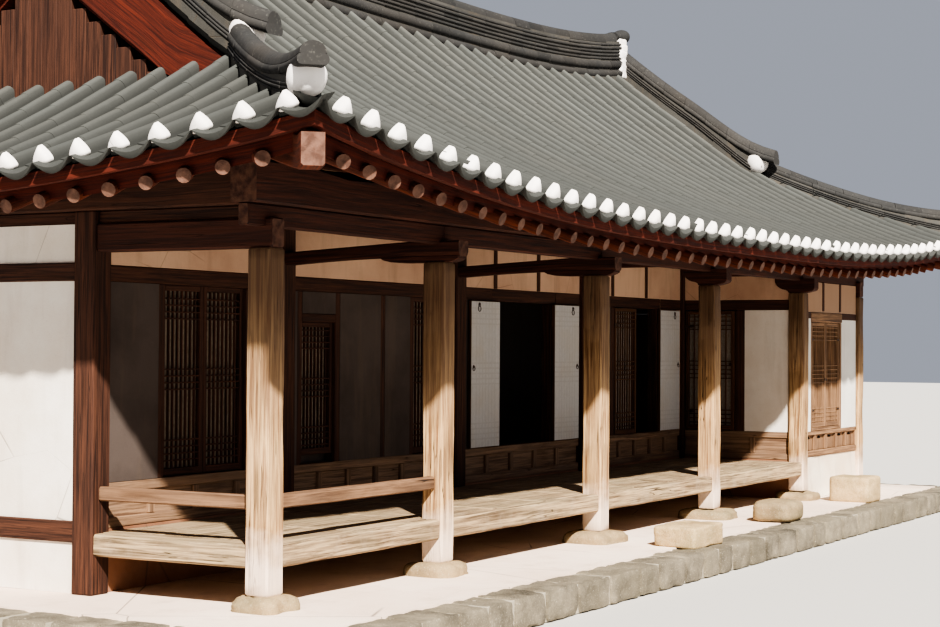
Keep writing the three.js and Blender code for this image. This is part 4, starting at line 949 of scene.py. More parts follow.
ridge, mortar, caps = Shape(), Shape(), Shape()
for kind, half, low, high, long in RIDGE_COURSES:
    course(ridge, ridge_path(RIDGE_END - 0.2), kind, half, low, high, long)
course(ridge, ridge_path(RIDGE_END - 0.3, CURL_RISE), "cap", 0.1, 0.8, 1.0, 0.34, 0.3)
core(mortar, ridge_path(RIDGE_END - 0.24), 0.1, -0.15, 0.82)
core(mortar, ridge_path(RIDGE_END - 0.08), 0.124, -0.15, 0.08)
for side_x in (-1, 1):
    for side_y in (-1, 1):
        corner_ridge(verge_path, (side_x, side_y), 1.0, 0.09, 0.3, 0.15)
        corner_ridge(hip_path, (side_x, side_y), 0.92, 0.082, 0.18, 0.1)
    # White plaster closes the ends of the main ridge, under a cover that flares and curls up.
    foot, rise = ridge_path(RIDGE_END)[-1][4:]
    for level, half, long in END_LUMPS:
        centre = (side_x * (RIDGE_END - 0.02 - long / 2), 0, foot + level * rise)
        lump(centre, (long / 2, half, 0.1 * rise + 0.012), level, 7)
    snout(side_x)
ridge.piece("ridge_tiles", RIDGE_TILE, "roof_tile", "roof_ridges", 40)
mortar.piece("ridge_mortar", BED, "lime_plaster", angle=40)
caps.piece("ridge_end_plaster", WHITE, "lime_plaster", angle=60)

# Gables: boards on the wall, and a pair of bargeboards.
random.seed(11)
GABLE_BOARD, GABLE_HALF = 0.148, EAVE_Y - HIP_IN - 0.16


def gable(name, side_x):
    wall, boards = Shape(), Shape()
    foot, y = tile_z(HIP_IN, EAVE_Y) - FOOT_DROP, -GABLE_HALF
    while y < GABLE_HALF:
        top = min(soffit_z(EAVE_Y - abs(v), HIP_IN) for v in (y, y + GABLE_BOARD)) - 0.004
        low = foot - 0.02
        if top - low > 0.05:
            x = sorted((side_x * (GABLE_X - 0.13), side_x * (GABLE_X + random.uniform(0.0, 0.008))))
            timber(wall, "z", x, (y, y + GABLE_BOARD - 0.004), (low, top), 0.005, 0.001, 0.4)
        y += GABLE_BOARD
    near, far = side_x * (GABLE_X + 0.002), side_x * (GABLE_X + 0.043)
    for side_y in (-1, 1):
        rings = []
        for v in evenly(0.0, GABLE_HALF, 15):
            y, top = side_y * v, tile_z(EAVE_Y - v, HIP_IN) - 0.115
            low = max(top - 0.5, foot + 0.02)
            rings.append([(near, y, low), (far, y, low + 0.006), (far, y, top), (near, y, top)])
        boards.loft(rings, 0.4, mark_ends=True)
    wall.piece(f"gable_boards_{name}", FRAME_WOOD, "dark_timber", f"gable_{name}")
    boards.piece(f"bargeboards_{name}", EAVE_WOOD, "dark_timber")


gable("left", -1)
gable("right", 1)

# Rafters: round poles that taper to their tips, with end grain. They fan out at the corners.
AXIS_DROP = BOARD_RISE + RAFTER_R * math.hypot(1, RAFTER_SLOPE)
HIP_HALF, HIP_TALL, HIP_BEVEL = 0.075, 0.2, 0.014


def fan_sag(d):
    """How far the fanned rafters hang lower, for a distance from the end of the eave."""
    return 0.06 * min(1, max(0, (PURLIN_IN - d) / 0.6))


def rafter(shape, side, tip, head):
    """A pole between two places (along, in from the eave), laid under the boards."""

    def level(along, t):
        return soffit_z(t, side.half - abs(along)) - AXIS_DROP

    tip_z, head_z = level(*tip), level(*head)
    down = 0.0
    for k in (0.2, 0.4, 0.6, 0.8):
        on_line = [a + (b - a) * k for a, b in zip(tip, head)]
        down = min(down, level(*on_line) - (tip_z + (head_z - tip_z) * k))
    ends = [Vector((*flare(*side.place(*p)), z + down)) for p, z in ((tip, tip_z), (head, head_z))]
    way = (ends[1] - ends[0]).normalized()
    across = way.cross((0, 0, 1)).normalized()
    up = across.cross(way)
    phase, rings = random.uniform(0, 9), []
    for k in (0, 0.012, 0.1, 0.3, 0.5, 0.75, 1):
        radius = RAFTER_R * (1.0 if k else 0.95) * (0.97 + 0.03 * math.sin(phase + 5 * k))
        centre = ends[0].lerp(ends[1], k) - up * 0.002
        rings.append([
            tuple(centre + across * radius * math.cos(a) + up * radius * math.sin(a)) for a in turn(14)
        ])
    shape.loft(rings, random.random(), mark_ends=True)


def rafters(side):
    shape = Shape()
    straight = side.half - PURLIN_IN
    fan = PURLIN_IN - TIP_IN - HIP_HALF - RAFTER_R
    count = int((straight + fan) / RAFTER_STEP)
    for i in range(-count, count + 1):
        along = i * RAFTER_STEP
        share = (abs(along) - straight) / PURLIN_IN
        if share > 0:
            head_in = 2.4 - 0.9 * share
            head = (math.copysign(side.half - head_in - 0.21, along), head_in)
        else:
            head = (along, PURLIN_IN if side.name == "front" else 1.7)
        rafter(shape, side, (along, TIP_IN), head)
    return shape


def hip_rafter(shape, side_x, side_y):
    across, c, rings = math.sqrt(0.5), HIP_BEVEL, []
    for t in (0.13, 0.14, 0.2, 0.45, 0.7, 1.0, 1.3, 1.8, 2.3, PURLIN_IN - 0.16):
        x, y = flare(side_x * (EAVE_X - t), side_y * (EAVE_Y - t))
        top, inset = soffit_z(t, t) - 0.048, 0.0 if rings else 0.004
        half, low = HIP_HALF - inset, top - HIP_TALL + inset
        outline = [
            (-half, low + c), (-half + c, low), (half - c, low), (half, low + c), (half, top), (-half, top),
        ]
        rings.append(upright((x, y, across, -side_x * side_y * across), outline))
    shape.loft(rings, random.random(), mark_ends=True)


def batten_low(t, d):
    return soffit_z(t, d) - BOARD_RISE - 0.02 - fan_sag(d)


def batten_high(t, d):
    return soffit_z(t, d) - GAP


for name, side in SIDES.items():
    shape = rafters(side)
    if not side.long:
        for side_y in (-1, 1):
            hip_rafter(shape, -1 if name == "left" else 1, side_y)
    shape.piece(f"rafter_poles_{name}", RAFTER_WOOD, "dark_timber", f"rafters_{name}", 40)
    short = 0.11 if side.long else 0.06
    strip = eave_strip(side, TIP_IN + 0.05, TIP_IN + 0.11, batten_low, batten_high, short, 0.45)
    strip.piece(f"eave_batten_{name}", EAVE_WOOD, "dark_timber")

# Short boards close the gaps between the rafters over each purlin.
blocking, t = Shape(), EAVE_Y - REAR_Y + 0.02
for side in SIDES.values():
    count = int((side.half - PURLIN_IN) / RAFTER_STEP)
    for i in range(-count, count):
        rings = []
        for along in about((i + 0.5) * RAFTER_STEP, 0.14):
            top = soffit_z(t, side.half - abs(along))
            high, low = top - 0.003, top - AXIS_DROP - 0.045
            outline = ((0, low), (0.025, low), (0.025, high), (0, high))
            rings.append([(*side.place(along, t + w), z) for w, z in outline])
        blocking.loft(rings, random.random())
blocking.piece("rafter_blocking", EAVE_WOOD, "dark_timber")


# Purlins and beams over the columns.
def rafter_foot(t, d):
    """The underside of the rafters, which have ten sides in the solids."""
    flat = (1 + math.cos(math.pi / 5)) * (AXIS_DROP - BOARD_RISE)
    return rafters_top(t) + CORNER_RISE * sweep(d) - flat


def purlin(shape, side, t, reach, bottom):
    """A beam under the rafters, whose top follows them."""
    rings, half, c = [], 0.105, 0.012
    for along in evenly(-reach, reach, 25):
        d = side.half - abs(along)
        eased = 0.0003 + 0.0018 * abs(along) + 1.2 * fan_sag(d)
        near, far = (min(rafter_foot(at, d), rafter_foot(d, at)) - eased for at in about(t, half))
        outline = [
            (-half, bottom + c), (-half + c, bottom), (half - c, bottom), (half, bottom + c),
            (half, far), (-half, near),
        ]
        rings.append([(*side.place(along, t + w), z) for w, z in outline])
    shape.loft(rings, random.random(), mark_ends=True)


def extrude(shape, outline, x, bevel):
    """A flat outline (y, z) made solid along X, with its rims broken. The grain runs along Y."""
    centre = [sum(p[i] for p in outline) / len(outline) for i in (0, 1)]
    rings = []
    for at, inset in ((x[0], bevel), (x[0] + bevel, 0), (x[1] - bevel, 0), (x[1], bevel)):
        ring = []
        for u, v in outline:
            keep = 1 - inset / (math.hypot(u - centre[0], v - centre[1]) or 1)
            ring.append((at, centre[0] + (u - centre[0]) * keep, centre[1] + (v - centre[1]) * keep))
        rings.append(ring)
    tone, shift = random.random(), random.uniform(0, 9)
    shape.loft(rings, tone, grain=[(u + shift, at + shift, v) for ring in rings for at, u, v in ring])


BEAM_HALF, BEAM_FRONT_Z, HIGH_BEAM_Z = 0.075, 2.805, (2.84, 2.99)
FACE, BACK = FRONT_Y - HALF - 0.0003, INNER_Y - HALF - 0.0003
TAIL, UNDER = FACE - 0.12, COLUMN_TOP_Z + GAP
PLATE_OUT, PLATE_HALF = 0.26, 0.045


def end_beam(x):
    timber(beams, "y", about(x, BEAM_HALF), (FACE, BACK), (UNDER, BEAM_TOP_Z), 0.012, 0.003, 0.12)


def low_beam(x):
    """A thin beam that drops a little towards the wall, on a bracket shaped like a boat."""
    boat = [
        (TAIL + 0.012, UNDER + 0.045), (TAIL + 0.012, UNDER + 0.03), (TAIL + 0.04, UNDER + 0.014),
        (FACE - 0.03, UNDER), (FRONT_Y + 0.3, UNDER), (FRONT_Y + 0.4, UNDER + 0.006),
        (FRONT_Y + 0.47, UNDER + 0.02), (FRONT_Y + 0.52, UNDER + 0.045),
    ]
    extrude(beams, boat, about(x, BEAM_HALF - 0.012), 0.005)
    rings, level_from = [], FRONT_Y + 0.2
    for y in evenly(TAIL, BACK, 13):
        share = max(0.0, (y - level_from) / (BACK - level_from))
        low = UNDER + 0.045 - 0.043 * share + 0.012 * math.sin(math.pi * share)
        high = BEAM_FRONT_Z - 0.062 * share
        edge = [
            (BEAM_HALF - 0.022, low), (BEAM_HALF, low + (high - low) * 0.3),
            (BEAM_HALF, high - 0.01), (BEAM_HALF - 0.01, high),
        ]
        rings.append([(x + w, y, z) for w, z in mirrored(edge)])
    beams.loft(rings, random.random(), mark_ends=True)


def high_beam(x):
    """A beam over a bracket that curves out of its column."""
    back, top = FRONT_Y + HALF, HIGH_BEAM_Z[0] + 0.02
    bracket = [
        (TAIL, BEAM_FRONT_Z), (TAIL, UNDER + 0.05), (TAIL + 0.012, UNDER + 0.03), (TAIL + 0.035, UNDER + 0.018),
        (FACE, UNDER), (back, UNDER), (back + 0.014, UNDER + 0.022), (back + 0.04, UNDER + 0.034),
        (back + 0.075, UNDER + 0.04), (back + 0.11, UNDER + 0.054), (back + 0.145, UNDER + 0.082),
        (back + 0.168, UNDER + 0.12), (back + 0.176, top), (FRONT_Y, top), (FRONT_Y, BEAM_FRONT_Z),
    ]
    extrude(beams, bracket, about(x, BEAM_HALF), 0.004)
    timber(beams, "y", about(x, BEAM_HALF), (FRONT_Y + 0.01, BACK), HIGH_BEAM_Z, 0.02, 0.003, 0.12)


beams = Shape()
for make, x in zip((end_beam, low_beam, low_beam, high_beam, high_beam, end_beam), LINES):
    make(x)
plates = [LEFT_X - PLATE_OUT, *LINES[1:5], RIGHT_X + PLATE_OUT]
for a, b in zip(plates, plates[1:]):
    level = (PLATE_Z, PURLIN_Z - GAP)
    timber(beams, "x", (a + GAP, b - GAP), about(FRONT_Y, PLATE_HALF), level, 0.01, 0.003, 0.15)
purlin(beams, SIDES["front"], EAVE_Y - REAR_Y, RIGHT_X + PLATE_OUT, PURLIN_Z)
beams.piece("veranda_beams", BEAM_WOOD, "dark_timber", "front_beams")
inner = Shape()
purlin(inner, SIDES["front"], PURLIN_IN, 4.86, INNER_PURLIN_Z)
inner.piece("veranda_inner_purlin", BEAM_WOOD, "dark_timber", "inner_purlin")

# Columns, each its own timber.
for i, x in enumerate(LINES):
    post, level = Shape(), (FOOT_Z + GAP, COLUMN_TOP_Z)
    timber(post, "z", about(x, HALF), about(FRONT_Y, HALF), level, 0.014, 0.012, 0.09, seed=i * 4.7)
    post.piece(f"front_post_{i + 1}", COLUMN_WOOD, "column_timber", f"front_column_{i + 1}", 40)
for i, x in enumerate(LINES[1:5]):
    post, level = Shape(), (PLINTH_Z + GAP, INNER_PURLIN_Z)
    timber(post, "z", about(x, HALF), about(INNER_Y, HALF), level, 0.01, 0.003, 0.12)
    post.piece(f"inner_post_{i + 2}", FRAME_WOOD, "column_timber", f"inner_column_{i + 2}", 40)

# Stones: the column bases, the stepping stones, and the curb and paving of the plinth.
random.seed(5)
PLINTH_X, PLINTH_Y, CURB, JOINT_IN = 7.4, 3.95, 0.36, 0.034
FOOTING = ((0.42, 0.4), (0.44, 0.44), (0.56, 0.5), (0.52, 0.56), (0.46, 0.46), (0.36, 0.34))
# Stepping stones: place, width, depth, height, how square they are, and their stone.
STEPS = {
    "left": (-0.98, -3.6, 0.68, 0.42, 0.185, 16, STONE),
    "middle": (1.6, -3.5, 0.62, 0.42, 0.215, 4.2, GREY_STONE),
    "right": (4.4, -3.42, 0.5, 0.48, 0.29, 12, STONE),
}


def box_at(x, y, wide, deep, low, high):
    """The low and the high corner of a box around a place."""
    return (x - wide / 2, y - deep / 2, low), (x + wide / 2, y + deep / 2, high)


bases = Shape()
for i, (x, (wide, deep)) in enumerate(zip(LINES, FOOTING)):
    corners = box_at(x, FRONT_Y, wide, deep, PLINTH_Z - 0.12, FOOT_Z + 0.006)
    rounded(bases, *corners, 5.0, 0.04, 14, i * 3.1, size=5)
bases.piece("column_base_stones", GREY_STONE, "stone", angle=60)
for name, (x, y, wide, deep, high, power, look) in STEPS.items():
    step = Shape()
    rounded(step, *box_at(x, y, wide, deep, PLINTH_Z - 0.015, PLINTH_Z + high), power, 0.016, 20, x, 0.4, 5)
    step.piece(f"step_{name}", look, "stone", f"step_stone_{name}", 60)


def curb(axis, reach, across, seed):
    """A row of hewn blocks along one side of the plinth."""
    at = -reach
    while at < reach - 0.02:
        long = min(random.uniform(0.34, 0.56), reach - at)
        if reach - at - long < 0.2:
            long = reach - at
        top, run = PLINTH_Z - random.uniform(0.0, 0.008), (at + 0.011, at + long - 0.011)
        x, y = (run, across) if axis == "x" else (across, run)
        corners = (x[0], y[0], -0.002), (x[1], y[1], top)
        rounded(stones, *corners, 16, 0.018, 8, at * 3 + seed, random.uniform(0.0, 1.0), 7)
        at += long


stones, joints = Shape(), Shape()
curb("x", PLINTH_X, (-PLINTH_Y, -PLINTH_Y + CURB), 1)
curb("x", PLINTH_X, (PLINTH_Y - CURB, PLINTH_Y), 2)
curb("y", PLINTH_Y - CURB, (-PLINTH_X, -PLINTH_X + CURB), 3)
curb("y", PLINTH_Y - CURB, (PLINTH_X - CURB, PLINTH_X), 4)
stones.piece("curb_blocks", CURB_STONE, "stone", "plinth", 50)
whole, between = about(0, PLINTH_X - JOINT_IN), about(0, PLINTH_Y - CURB - GAP)
for x, y in (
    (whole, (-PLINTH_Y + JOINT_IN, -PLINTH_Y + CURB)),
    (whole, (PLINTH_Y - CURB, PLINTH_Y - JOINT_IN)),
    ((-PLINTH_X + JOINT_IN, -PLINTH_X + CURB), between),
    ((PLINTH_X - CURB, PLINTH_X - JOINT_IN), between),
):
    timber(joints, "x", x, y, (0.0, PLINTH_Z - 0.02), 0.004, 0.003, 0.2)
joints.piece("curb_mortar", JOINT, "lime_plaster", angle=40)


def cement_slab(cell=0.4):
    """The plinth's cement, whose top rises and falls a little."""
    xs, ys = (evenly(-v, v, round(2 * v / cell) + 1) for v in (PLINTH_X - CURB + 0.03, PLINTH_Y - CURB + 0.03))
    shape, points = Shape(), []
    for base in (0.002, PLINTH_Z):
        for i, y in enumerate(ys):
            for j, x in enumerate(xs):
                edge = i in (0, len(ys) - 1) or j in (0, len(xs) - 1)
                dip = 0.0 if edge or base < PLINTH_Z else min(wobble((x, y, 0), 1.3, 0.006), 0.0)
                points.append((x, y, base + dip))
    shape.solid(points, grid(len(ys), len(xs)))
    return shape


cement_slab().piece("plinth_cement", CEMENT, "floor_cement", angle=40)

# Veranda: floor boards between cross members, behind a thick edge beam.
random.seed(21)
planks = Shape()
OUT_X, OUT_Y, EDGE_BEAM = LEFT_X - 0.075, FRONT_Y - 0.075, 0.1
BEAM_IN_X, BEAM_IN_Y = OUT_X + EDGE_BEAM, OUT_Y + EDGE_BEAM
LOW_Z, UNDER_Z = VERANDA_Z - 0.16, VERANDA_Z - 0.05
BOARDS_Z, CROSS_Y = (UNDER_Z, VERANDA_Z), (BEAM_IN_Y + GAP, INNER_FACE - 0.002)
END_X, LET, CROSS_HALF = SIDE_FACE - GAP, HALF * 0.8, 0.04
front_level, left_level = (LOW_Z, VERANDA_Z - 0.002), (LOW_Z, VERANDA_Z - 0.003)
timber(planks, "x", (OUT_X, END_X), (OUT_Y, BEAM_IN_Y), front_level, 0.016, 0.007, 0.11, 0.3)
timber(planks, "y", (OUT_X, BEAM_IN_X), (BEAM_IN_Y, INNER_FACE - GAP), left_level, 0.016, 0.006, 0.11, 0.3)


def boards(x, y, wide=0.15, joint=0.004):
    """Boards side by side that fill a rectangle, running along X."""
    count = max(1, round((y[1] - y[0]) / wide))
    step = (y[1] - y[0]) / count
    for k in range(count):
        a, b = y[0] + k * step + joint / 2, y[0] + (k + 1) * step - joint / 2
        timber(planks, "x", x, (a, b), (UNDER_Z, VERANDA_Z - random.uniform(0.0, 0.004)), 0.004, 0.0015, 0.25)


for a, b in zip(LINES, LINES[1:5]):
    start, end = a + LET, min(b - LET, END_X)
    parts = max(1, round((end - start) / 0.92))
    for k in range(parts):
        low, high = start + (end - start) * k / parts, start + (end - start) * (k + 1) / parts
        if k:
            timber(planks, "y", about(low, CROSS_HALF), CROSS_Y, BOARDS_Z, 0.005, 0.001)
        boards((low + CROSS_HALF + 0.002, high - CROSS_HALF - 0.002), (BEAM_IN_Y + 0.002, INNER_FACE - 0.002))
for x in LINES[:5]:
    low, end, run = x - LET - CROSS_HALF, min(x + LET + CROSS_HALF, END_X), (FRONT_Y + HALF, INNER_Y - HALF)
    if x == LEFT_X:
        low, run = BEAM_IN_X + GAP, CROSS_Y
    timber(planks, "y", (low, end), run, BOARDS_Z, 0.005, 0.001)
# Joists under the boards carry them to the inner wall.
for k in range(12):
    x = -5.9 + k * 0.9
    if x < SIDE_FACE - 0.1:
        timber(planks, "y", about(x, 0.045), CROSS_Y, (LOW_Z + 0.015, UNDER_Z - GAP), 0.008, 0.002)
planks.piece("veranda_boards", FLOOR_WOOD, "floor_boards", "veranda_floor")

RAIL_Z, RAIL_HALF = (0.9, 1.0), 0.03
for name, axis, x, y in (
    ("front", "x", (LEFT_X + HALF, LINE_2 - HALF), about(FRONT_Y, RAIL_HALF)),
    ("left", "y", about(LEFT_X, RAIL_HALF), (FRONT_Y + HALF, INNER_Y - HALF)),
):
    rail = Shape()
    timber(rail, axis, x, y, RAIL_Z, 0.01, 0.003, 0.15)
    rail.piece(f"handrail_{name}", RAIL_WOOD, "floor_boards", f"rail_{name}")

DADO_Z = (FLOOR_Z + GAP, SILL_Z)


def framed(shape, run, span, depth, studs, rail):
    """A row of panels under the windows: rails, studs, and boards set back in the fields."""

    def put(along, across, level, axis):
        x, y = (along, across) if run == "x" else (across, along)
        timber(shape, axis, x, y, level, 0.006, 0.002, 0.3)

    low, high = DADO_Z
    put(span, depth, (low, low + rail), run)
    put(span, depth, (high - rail, high), run)
    for s in studs:
        put(about(s, rail * 0.45), depth, (low + rail + GAP, high - rail - GAP), "z")
    outer, thick = depth[0], depth[1] - depth[0]
    fields = (outer + thick * 0.16, outer + thick * 0.46)
    put((span[0] + GAP, span[1] - GAP), fields, (low + rail * 0.5, high - rail * 0.5), run)


dado = Shape()
for a, b in zip(LINES, LINES[1:5]):
    a, b = a + HALF + LET_IN, b - HALF - LET_IN
    studs = evenly(a, b, max(3, round((b - a) / 0.46)) + 1)[1:-1]
    framed(dado, "x", (a, b), (INNER_FACE, INNER_BACK), studs, 0.075)
dado.piece("veranda_dado", DADO_WOOD, "dark_timber", "inner_dado")
dado = Shape()
SIDE_ENDS = (FRONT_Y + HALF + LET_IN, INNER_Y - HALF - LET_IN)
framed(dado, "y", SIDE_ENDS, (SIDE_FACE, SIDE_BACK), (-2.25, -1.84), 0.07)
dado.piece("side_wall_dado", DADO_WOOD, "dark_timber", "side_dado")

# Lattices: close upright bars, crossed by bands of level ones, with paper behind them.
BAR_HALF, BAR_STEP, STILE, FOOT_RAIL = 0.0055, 0.05, 0.042, 0.042 * 1.3
# Bands of level bars: share of the height, and how many.
BANDS = ((0.08, 4), (0.5, 5), (0.92, 4))
# Half width of the paper strips marked for the painted shadow of a bar.
MARK_HALF = 0.007


class Along:
    """Places a flat panel in the house: u runs along X or Y, w goes inwards from its outer face."""

    def __init__(self, run, origin_u, way_u, origin_w, way_w):
        self.run = run
        self.ways = ((origin_u, way_u), (origin_w, way_w))

    def __call__(self, u, w, z):
        """Spans of the house for spans of the panel."""
        spans = [tuple(sorted(origin + way * v for v in s)) for (origin, way), s in zip(self.ways, (u, w))]
        return (*(spans if self.run == "x" else spans[::-1]), z)

    def point(self, u, w, z):
        (u, _), (w, _), _ = self((u, u), (w, w), z)
        return (u, w, z)


def level_bars(low, high, bands):
    middles = [(low + (high - low) * share, count) for share, count in bands]
    return [middle + (k - (count - 1) / 2) * BAR_STEP for middle, count in middles for k in range(count)]


def lattice(wood, place, u, w, z, uprights, bands):
    """A leaf between u, w (outer face to paper) and z."""

    def put(a, b, level, axis, bevel):
        timber(wood, place.run if axis == "u" else axis, *place(a, b, level), bevel, 0.0006, 0.5)

    put((u[0], u[0] + STILE), w, z, "z", 0.004)
    put((u[1] - STILE, u[1]), w, z, "z", 0.004)
    inner, low, high = (u[0] + STILE, u[1] - STILE), z[0] + FOOT_RAIL, z[1] - STILE
    put(inner, w, (z[0], low), "u", 0.004)
    put(inner, w, (high, z[1]), "u", 0.004)
    thick = w[1] - w[0]
    for at in evenly(*inner, uprights + 2)[1:-1]:
        put(about(at, BAR_HALF), (w[0] + thick * 0.12, w[0] + thick * 0.62), (low, high), "z", 0.0015)
    for at in level_bars(low, high, bands):
        put(inner, (w[0] + thick * 0.16, w[0] + thick * 0.58), about(at, BAR_HALF), "u", 0.0015)


def sheet(shape, place, u, w, z, bars=(), rows=()):
    """Paper in strips, where marked strips lie over the bars behind it and carry their painted shadow."""
    levels = sorted({*z, *(v for at in rows for v in about(at, MARK_HALF))})
    sides = sorted({*u, *(v for at in bars for v in about(at, MARK_HALF))})
    points, grain, marked, cell = [], [], [], 0
    for inner_side, depth in enumerate(w):
        points += [place.point(across, depth, level) for level in levels for across in sides]
        grain += [(float(inner_side), 0.0, 0.0)] * (len(levels) * len(sides))
    for low, high in zip(levels, levels[1:]):
        for left, right in zip(sides, sides[1:]):
            over_row = any(abs((low + high) / 2 - at) < MARK_HALF for at in rows)
            if over_row or any(abs((left + right) / 2 - at) < MARK_HALF for at in bars):
                marked += [cell, cell + 1]
            cell += 2
    shape.solid(points, grid(len(levels), len(sides)), 0.5, marked, grain)


def ring_pull(shape, place, u, w, z, radius=0.022, wire=0.003):
    """An iron ring that hangs from a point, in the plane w."""
    points, heart = [], z - radius
    for a in turn(12):
        for b in turn(6):
            reach, out = radius + wire * math.cos(b), wire * math.sin(b)
            points.append(place.point(u + reach * math.sin(a), w + out, heart + reach * math.cos(a)))
    shape.solid(points, skin(12, 6, around=True))


def plate(shape, place, u, w, z, radius, thick):
    """A small round iron plate whose face lies at w."""
    rings = []
    for depth, size in ((w - thick, 0.9), (w - thick * 0.3, 1.0), (w, 1.0)):
        reach = radius * size
        rings.append([place.point(u + reach * math.cos(a), depth, z + reach * math.sin(a)) for a in turn(12)])
    shape.loft(rings)


def barrel(shape, place, low):
    """Half of a lift-off hinge, around the line that its leaf turns about."""
    x, y, _ = place.point(0, 0, 0)
    radius, tall, rings = 0.0055, 0.03, []
    for size, z in ((0.8, low), (1.0, low + 0.003), (1.0, low + tall - 0.003), (0.8, low + tall)):
        rings.append([(x + radius * size * math.cos(a), y + radius * size * math.sin(a), z) for a in turn(10)])
    shape.loft(rings)


def strap(shape, place, u, w, z, high=0.028, long=0.12):
    """A hinge strap: a thin pointed iron plate on a leaf or post."""
    neck, half = long * 0.7, high / 2
    outline = ((0.0, -half), (neck, -half), (long, 0.0), (neck, half), (0.0, half))
    shape.loft([[place.point(u + a, depth, z + b) for a, b in outline] for depth in w])


# Door leaves. Each hangs at u = 0 of its own place, with its outer face at w = 0.
LEAF_Z = (SILL_Z + 0.006, HEAD_Z - 0.006)
LEAF_THICK, PAPER_THICK, LEAF_NEAR, LEAF_FAR, SIDE_LEAF_FAR = 0.036, 0.003, 0.006, 0.581, 0.626
HINGE_LEVELS = (LEAF_Z[0] + 0.2, LEAF_Z[1] - 0.2)
DOOR_X = {3: LINE_3 + 1.35, 4: LINE_4 + 1.37}
DOOR_HALF, DOOR_FRAME_HALF = 0.585, 0.685
HINGE_Y, SIDE_HINGE_X, SIDE_HINGE_Y = INNER_FACE - 0.008, 4.152, -1.402
LEAVES = {}
for bay, side, folded in ((3, -1, True), (3, 1, True), (4, -1, False), (4, 1, True)):
    way_u, way_w = (side, -1) if folded else (-side, 1)
    name = f"bay{bay}_door_{'left' if side < 0 else 'right'}"
    LEAVES[name] = Along("x", DOOR_X[bay] + side * DOOR_HALF, way_u, HINGE_Y, way_w)
LEAVES["side_door"] = Along("y", SIDE_HINGE_Y, -1, SIDE_HINGE_X, 1)


def leaf(name, place, far):
    """A door leaf: its lattice on the outer face, and paper over the whole inner face."""
    wood, paper, iron = Shape(), Shape(), Shape()
    (low, high), back = LEAF_Z, LEAF_THICK
    lattice(wood, place, (LEAF_NEAR, far), (0.0, back - PAPER_THICK), LEAF_Z, 7, BANDS)
    bars = evenly(LEAF_NEAR + STILE, far - STILE, 9)[1:-1]
    rows = level_bars(low + 0.055, high - STILE, BANDS)
    edges = (LEAF_NEAR + 0.006, far - 0.006), (back - PAPER_THICK, back - 0.0004), (low + 0.006, high - 0.006)
    sheet(paper, place, *edges, bars, rows)
    grip, hook = far - 0.05, far - 0.155
    plate(iron, place, grip, 0.004, low + 0.78, 0.018, 0.005)
    plate(iron, place, grip, back - 0.004, low + 0.78, 0.018, -0.005)
    ring_pull(iron, place, grip, back + 0.0038, low + 0.785)
    plate(iron, place, hook, back - 0.004, high - 0.03, 0.014, -0.005)
    ring_pull(iron, place, hook, back + 0.0034, high - 0.022, 0.017, 0.0032)
    ring_pull(iron, place, hook, back + 0.0036, high - 0.05, 0.027, 0.0032)
    wood.piece(f"{name}_lattice", LATTICE_WOOD, "papered_lattice", name, body=name)
    paper.piece(f"{name}_paper", PAPER, "papered_lattice", body=name)
    iron.piece(f"{name}_iron", IRON, "papered_lattice", angle=50, body=name)


for name, place in LEAVES.items():
    leaf(name, place, SIDE_LEAF_FAR if name == "side_door" else LEAF_FAR)
irons = {name: Shape() for name in ("house", *LEAVES)}
for name, place in LEAVES.items():
    for level in HINGE_LEVELS:
        barrel(irons[name], place, level)
        barrel(irons["house"], place, level - 0.0303)
        strap(irons[name], place, 0.003, (-0.0005, 0.0022), level + 0.015)
for name, shape in irons.items():
    shape.piece(f"hinge_irons_{name}", IRON, "papered_lattice", angle=50, body=name)

# Frames of the wall behind the veranda.
random.seed(31)
FRAME_Y = (INNER_FACE, INNER_FACE + 0.11)
POST_Z, HEAD_BEAM = (SILL_Z + GAP, HEAD_Z - GAP), (HEAD_Z, HEAD_BEAM_Z)
for bay, middle in DOOR_X.items():
    posts = Shape()
    for side in (-1, 1):
        x = sorted((middle + side * DOOR_HALF, middle + side * DOOR_FRAME_HALF))
        timber(posts, "z", x, FRAME_Y, POST_Z, 0.006)
    timber(posts, "x", about(middle, DOOR_FRAME_HALF), FRAME_Y, HEAD_BEAM, 0.008)
    posts.piece(f"bay{bay}_door_posts", FRAME_WOOD, "dark_timber", f"bay{bay}_door_frame")


def pane(wood, paper, place, u, z, w, uprights=7, bands=BANDS):
    """A closed window: its lattice outside and paper behind it."""
    back, edge = w[1] - 0.004, 0.004
    lattice(wood, place, u, (w[0], back), z, uprights, bands)
    sheet(paper, place, (u[0] + edge, u[1] - edge), (back, w[1]), (z[0] + edge, z[1] - edge))


